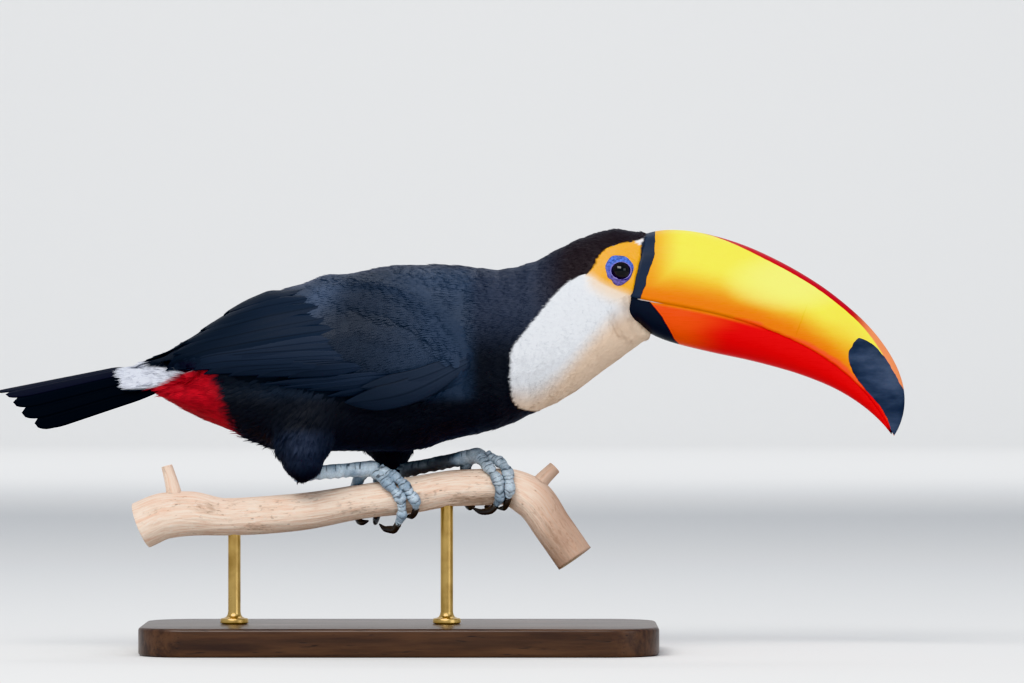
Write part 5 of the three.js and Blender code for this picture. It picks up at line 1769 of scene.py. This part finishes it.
eyeballs = {name: eyeball(name) for name in SIDES}
finished(eyeballs.values(), eye_paint())
print("eyes:", {name: triangle_count(ball.data) for name, ball in eyeballs.items()})

# %% [markdown]
# ## Claws
# A claw is a hook of dark horn, deep at the root, flattened below and worn to a blunt point. It
# grows out of the last toe joint, so its route starts inside that joint.

# %% Grow the claws
CLAW_RADII = (3.1, 2.9, 2.1, 0.5)
CLAW_ROWS, CLAW_SIDES = 34, 20


def claw(name, joints, hook):
    start = on_perch(*joints[-1])
    before = on_perch(*joints[-2])
    inside = np.array(start) + (np.array(before) - np.array(start)) * 0.12
    route = [tuple(inside), *(on_perch(*stop) for stop in hook)]
    path = smooth_route(np.column_stack([route, CLAW_RADII]), CLAW_ROWS)
    centre, radius = path[:, :3], path[:, 3]
    turn = around(CLAW_SIDES)
    row = np.arange(CLAW_ROWS)
    wide = 0.74 * (1 - 0.25 * smooth(0.2, -1, np.cos(turn)))
    deep = np.where(np.cos(turn) > 0, 1.0, 0.86)
    size = radius[:, None] * np.sqrt(1 - np.clip((row - 30) / 3.4, 0, 1) ** 2)[:, None]
    ridge = 1 + 0.02 * np.sin(row * 1.7)[:, None]
    near, beside = size * ridge * deep * np.cos(turn), size * ridge * wide * np.sin(turn)
    along = np.concatenate([np.repeat(np.linspace(0, 1, CLAW_ROWS), CLAW_SIDES), [0, 1]])
    return closed_tube(name, rings_along(centre, away_from_perch(centre), near, beside), {"along": along})


def claw_paint():
    paint = Paint("claw_horn")
    along = paint.value("along")
    grain = paint.grain(paint.place(), (500.0, 500.0, 500.0), 4.0)
    colour = paint.mix((0.030, 0.024, 0.020), (0.010, 0.009, 0.009), along + grain * 0.3)
    return paint.finish(Base_Color=colour, Roughness=grain * 0.25 + 0.22, Coat_Weight=0.2,
                        Normal=paint.bump(grain, 0.0002, 0.4))


claws = {key: claw(f"claw_horn_{key}", *stops) for key, stops in TOES.items()}
finished(claws.values(), claw_paint())
print("claws:", sum(triangle_count(c.data) for c in claws.values()), "triangles")

# %% [markdown]
# ## The perch
# The bird grips a weathered branch as thick as a broom handle. Its bark is tight, with fine
# fibres along it, soft swellings, a few scars, a thick node at one end and stubs of twigs. Both
# ends are sawn square for the stand.

# %% Shape the branch
BRANCH_ROWS, BRANCH_SIDES = 300, 72


def branch_tube(stops, rows, sides, seed, rough=0.45):
    path = smooth_route(stops, rows)
    centre, radius = path[:, :3], path[:, 3]
    turn = around(sides)
    length = np.linalg.norm(np.diff(centre, axis=0), axis=1).sum()
    run = np.repeat(np.linspace(0, length, rows)[:, None], sides, 1)
    bark = np.stack([run, np.tile(np.cos(turn) * 12, (rows, 1)), np.tile(np.sin(turn) * 12, (rows, 1))], -1)
    bark = bark.reshape(-1, 3)
    sample = bark * (0.16, 0.5, 0.5)
    swell = wander(sample, 6.0, seed).reshape(rows, sides) * rough
    fibre = wander(sample * (0.5, 3.0, 3.0), 2.2, seed + 1).reshape(rows, sides) * rough * 0.35
    size = radius[:, None] + swell + fibre
    across = np.tile([0.0, 1.0, 0.0], (rows, 1))
    rings = rings_along(centre, across, size * np.cos(turn), -size * np.sin(turn))
    bark = np.concatenate([bark, [[0, 0, 0], [length, 0, 0]]]) * MM
    return closed_tube("branch", rings, {"bark": bark})


STUBS = [((-143, 2, 90, 6.5), (-146, 3, 106, 4.6), (-149.5, 4, 119, 3.6)),
         ((84, -1, 100, 8.0), (91, 0, 110, 5.0), (99, 2, 118, 4.2))]
perch = branch_tube(PERCH_STOPS, BRANCH_ROWS, BRANCH_SIDES, 51)
for k, stub in enumerate(STUBS):
    perch = joined(perch, branch_tube(stub, 40, 28, 60 + k, 0.25), "perch_branch")
SAWN_REAR, SAWN_FRONT = -0.160, 0.0625   # metres: the ends lie behind the one and below the other
sawn_faces = [p for p in perch.data.polygons if (
    (p.center.x < SAWN_REAR and p.normal.x < -0.75) or (p.center.z < SAWN_FRONT and p.normal.z < -0.6))]
print("perch:", triangle_count(perch.data), "triangles,", len(sawn_faces), "faces on the sawn ends")

# %% Finish of the bark and of the sawn wood


def bark_paint():
    paint = Paint("bark")
    bark = paint.triple("bark")
    fibres = paint.grain(bark, (60.0, 900.0, 900.0), 6.0, 0.65)
    patches = paint.grain(bark, (30.0, 90.0, 90.0), 4.0, 0.6)
    scars = paint.cells(paint.stretched(bark, (70.0, 160.0, 160.0), (0.0, 0.0, 0.0)), 1.0)
    flecks = paint.grain(bark, (260.0, 700.0, 700.0))
    dark_flecks = flecks.between(0.44, 0.34) * patches.between(0.42, 0.60)
    bend = paint.axes(paint.place()).between(0.070, 0.105)
    colour = paint.layers(
        (0.80, 0.53, 0.39),
        ((0.93, 0.77, 0.63), fibres.between(0.30, 0.62)),
        ((0.40, 0.26, 0.18), patches.between(0.55, 0.72) * 0.70),
        ((0.30, 0.19, 0.13), dark_flecks * 0.5),
        ((0.92, 0.80, 0.70), flecks.between(0.58, 0.74) * 0.6),
        ((0.075, 0.050, 0.038), scars.between(0.10, 0.04) * 0.5),
        ((0.36, 0.21, 0.14), bend * (fibres * 0.5 + 0.5)))
    relief = fibres * 0.9 + patches * 0.8 + flecks * 0.4
    return paint.finish(Base_Color=colour, Roughness=fibres * 0.25 + 0.62, Specular_IOR_Level=0.3,
                        Normal=paint.bump(relief, 0.0008, 0.8))


def sawn_paint():
    paint = Paint("sawn_wood")
    place = paint.place()
    rings = paint.node("ShaderNodeTexWave", {"wave_type": "RINGS", "rings_direction": "SPHERICAL"}, {
        "Vector": place, "Scale": 90.0, "Distortion": 4.0, "Detail": 2.0}, "Fac")
    grain = paint.noise(place, 900.0, 3.0)
    colour = paint.mix((0.60, 0.44, 0.27), (0.42, 0.27, 0.14), rings * 0.6 + grain * 0.3)
    return paint.finish(Base_Color=colour, Roughness=grain * 0.2 + 0.6, Normal=paint.bump(grain, 0.0003, 0.5))


finished([perch], bark_paint(), sawn_paint())
for polygon in sawn_faces:
    polygon.material_index = 1
perch.data.polygons.foreach_set("use_smooth", [p.material_index == 0 for p in perch.data.polygons])

# %% [markdown]
# ## The stand
# A museum stand keeps out of the way: a low base of dark oiled hardwood with eased edges, and
# two turned brass rods that end inside the branch.

# %% Turn and mould the stand
BASE = {"half_x": 165.0, "half_y": 75.0, "height": 18.0, "corner": 32.0, "ease": 2.2}
CORNERS = ((1, 1), (-1, 1), (-1, -1), (1, -1))
CORNER_STEPS, EASE_STEPS = 12, 6
RODS = {"rear": -106.0, "front": 30.0}   # place along X
ROD_RADIUS, ROD_SIDES = 4.0, 48
ROD_FOOT = [(0.6, 0), (8.4, 0), (9.0, 0.5), (9.0, 2.4), (8.5, 3.2), (6.6, 3.6), (5.2, 4.3), (4.4, 5.6),
            (4.0, 7.5)]                  # radius and height of the turned collar, from its underside up


def base_slab():
    """A slab with round corners and eased edges: rings from the underside to the top."""
    ease_turns = np.linspace(0, math.pi / 2, EASE_STEPS + 1)
    e = BASE["ease"]
    lower = [(e - e * math.sin(a), e - e * math.cos(a)) for a in ease_turns]
    upper = [(e - e * math.cos(a), BASE["height"] - e + e * math.sin(a)) for a in ease_turns]
    rings = []
    for inset, height in lower + upper:
        ring = []
        r = BASE["corner"] - inset
        for quarter, (cx, cy) in enumerate(CORNERS):
            for k in range(CORNER_STEPS + 1):
                a = (quarter + k / CORNER_STEPS) * math.pi / 2
                ring.append((cx * (BASE["half_x"] - BASE["corner"]) + r * math.cos(a),
                             cy * (BASE["half_y"] - BASE["corner"]) + r * math.sin(a), height))
        rings.append(ring)
    return closed_tube("stand_base_board", np.array(rings))


def turned_rod(name, x):
    foot = BASE["height"] + 0.3
    head = float(perch_z(x) - perch_radius(x)) + 5.0
    profile = [(r, foot + rise) for r, rise in ROD_FOOT]
    profile += [(ROD_RADIUS, head - 9.5), (ROD_RADIUS, head)]
    turn = around(ROD_SIDES)
    grid = np.array([[(x + r * math.cos(a), r * math.sin(a), h) for a in turn] for r, h in profile])
    return closed_tube(name, grid)


def oiled_wood():
    paint = Paint("stand_wood")
    place = paint.place()
    warp = paint.grain(place, (4.0, 30.0, 30.0))
    grain = paint.grain(place, (9.0, 330.0, 120.0), 6.0, 0.65)
    pores = paint.grain(place, (70.0, 1500.0, 900.0), 2.0).between(0.62, 0.72)
    colour = paint.layers(
        (0.085, 0.040, 0.020), ((0.028, 0.013, 0.008), grain.between(0.32, 0.68)),
        ((0.13, 0.065, 0.032), warp.between(0.50, 0.75) * 0.5), ((0.012, 0.007, 0.005), pores * 0.8))
    return paint.finish(Base_Color=colour, Roughness=grain * 0.18 + 0.30, Coat_Weight=0.15,
                        Normal=paint.bump(grain * 0.5 - pores * 0.5, 0.0002, 0.5))


def brushed_brass():
    paint = Paint("stand_brass")
    rings = paint.grain(paint.place(), (60.0, 60.0, 4200.0), 2.0)
    dull = paint.noise(paint.place(), 70.0, 3.0)
    colour = paint.mix((0.62, 0.42, 0.16), (0.42, 0.27, 0.10), dull.between(0.4, 0.75))
    return paint.finish(Base_Color=colour, Metallic=1.0, Roughness=dull * 0.20 + 0.18 + rings * 0.06,
                        Normal=paint.bump(rings, 0.00005, 0.4))


board = base_slab()
finished([board], oiled_wood())
rods = {place: turned_rod(f"stand_rod_{place}_turned", x) for place, x in RODS.items()}
finished(rods.values(), brushed_brass())
for flat in [board, *rods.values()]:
    flat.data.set_sharp_from_angle(angle=math.radians(35))
print("stand:", triangle_count(board.data), "triangles in the board")

# %% [markdown]
# ## What each piece stands for
# Every piece rides on the one body and says which solids it replaces.

# %% Tie the pieces to the frame


def settle(piece, slot, *nodes):
    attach(piece, "root")
    if nodes:
        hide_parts(*nodes)


settle(skin, "leg_skin", *REPLACED)
COAT_SLOTS = {"coat_bib": "white_plumage", "coat_throat": "white_plumage", "coat_rump": "white_plumage",
              "coat_vent": "red_plumage"}   # every other piece of the coat is black
for piece in coats:
    slot = COAT_SLOTS.get(piece.name, "black_plumage")
    settle(piece, slot, *(["tail"] if piece.name == "tail_feathers" else []))
settle(bill_upper, "bill_upper", "bill_upper")
settle(bill_lower, "bill_lower", "bill_lower")
for name, ball in eyeballs.items():
    settle(ball, "eye", f"eye_{name}")
for key, piece in claws.items():
    settle(piece, "claw_horn", f"claw_{key}")
settle(perch, "bark", "perch")
settle(board, "stand_wood", "stand_base")
for place, rod in rods.items():
    settle(rod, "stand_brass", f"stand_rod_{place}")
for shelf in KINDS.values():
    for thing in list(shelf.objects):
        bpy.data.objects.remove(thing)
    bpy.data.collections.remove(shelf)
shown_meshes = [o.data for o in bpy.context.scene.objects if o.type == "MESH" and not o.hide_render]
print("whole model:", sum(map(triangle_count, shown_meshes)), "triangles")

# %% [markdown]
# ## Studio
# A pale floor that curves up behind, one large soft light high on the left, a weaker one from
# the right, and a strip behind to draw the outline of black plumage. A fourth lights the wall.

# %% Floor, lights and camera
FLOOR_REACH, WALL_FOOT, WALL_TOP = 30.0, 8.0, 5.0   # metres; room enough to walk round the bird
WALL_CURVE = 2.0      # radius of the curve from floor to wall


def backdrop():
    sweep = [(-FLOOR_REACH, 0.0), (WALL_FOOT, 0.0)]
    sweep += [(WALL_FOOT + WALL_CURVE * math.sin(a), WALL_CURVE - WALL_CURVE * math.cos(a))
              for a in np.linspace(0.1, math.pi / 2, 12)]
    sweep += [(WALL_FOOT + WALL_CURVE, WALL_TOP)]
    points = [(x, y, z) for y, z in sweep for x in (-FLOOR_REACH, FLOOR_REACH)]
    faces = [(2 * k, 2 * k + 1, 2 * k + 3, 2 * k + 2) for k in range(len(sweep) - 1)]
    floor = new_mesh("floor", np.array(points) / MM, faces)
    paint = Paint("pale_floor")
    floor.data.materials.append(paint.finish(Base_Color=(0.78, 0.77, 0.75), Roughness=0.9))


def lamp(name, place, aim, size, watts, colour=(1.0, 1.0, 1.0)):
    light = bpy.data.lights.new(name, "AREA")
    light.shape = "RECTANGLE"
    light.size, light.size_y = size
    light.energy = watts
    light.color = colour
    holder = in_scene(name, light)
    holder.location = place
    holder.rotation_euler = (Vector(aim) - Vector(place)).to_track_quat("-Z", "Y").to_euler()


backdrop()
MIDDLE = (0.05, 0.0, 0.18)
lamp("key", (-0.7, -1.7, 2.0), MIDDLE, (2.0, 1.1), 52, (1.0, 0.985, 0.96))
lamp("fill", (1.9, -1.6, 0.8), MIDDLE, (1.2, 1.2), 8, (0.93, 0.96, 1.0))
lamp("rim", (0.2, 1.3, 1.9), MIDDLE, (2.0, 0.5), 7)
lamp("wash", (0.0, 4.6, 3.4), (0.0, 10.0, 1.0), (7.0, 1.0), 170)
world = bpy.data.worlds.new("studio")
bpy.context.scene.world = world
world.use_nodes = True
sky = world.node_tree.nodes["Background"].inputs
sky["Color"].default_value = (0.82, 0.87, 0.95, 1)
sky["Strength"].default_value = 0.80
bpy.context.scene.view_settings.view_transform = "Khronos PBR Neutral"
bpy.context.scene.view_settings.exposure = -0.12

camera_data = bpy.data.cameras.new("camera")
camera_data.lens = 219.7
camera_data.sensor_width = 36.0
camera_data.clip_end = 50.0
camera = in_scene("camera", camera_data)
camera.location = (0.0717, -4.0, 0.1987)
camera.rotation_euler = (math.pi / 2, 0, 0)
bpy.context.scene.camera = camera
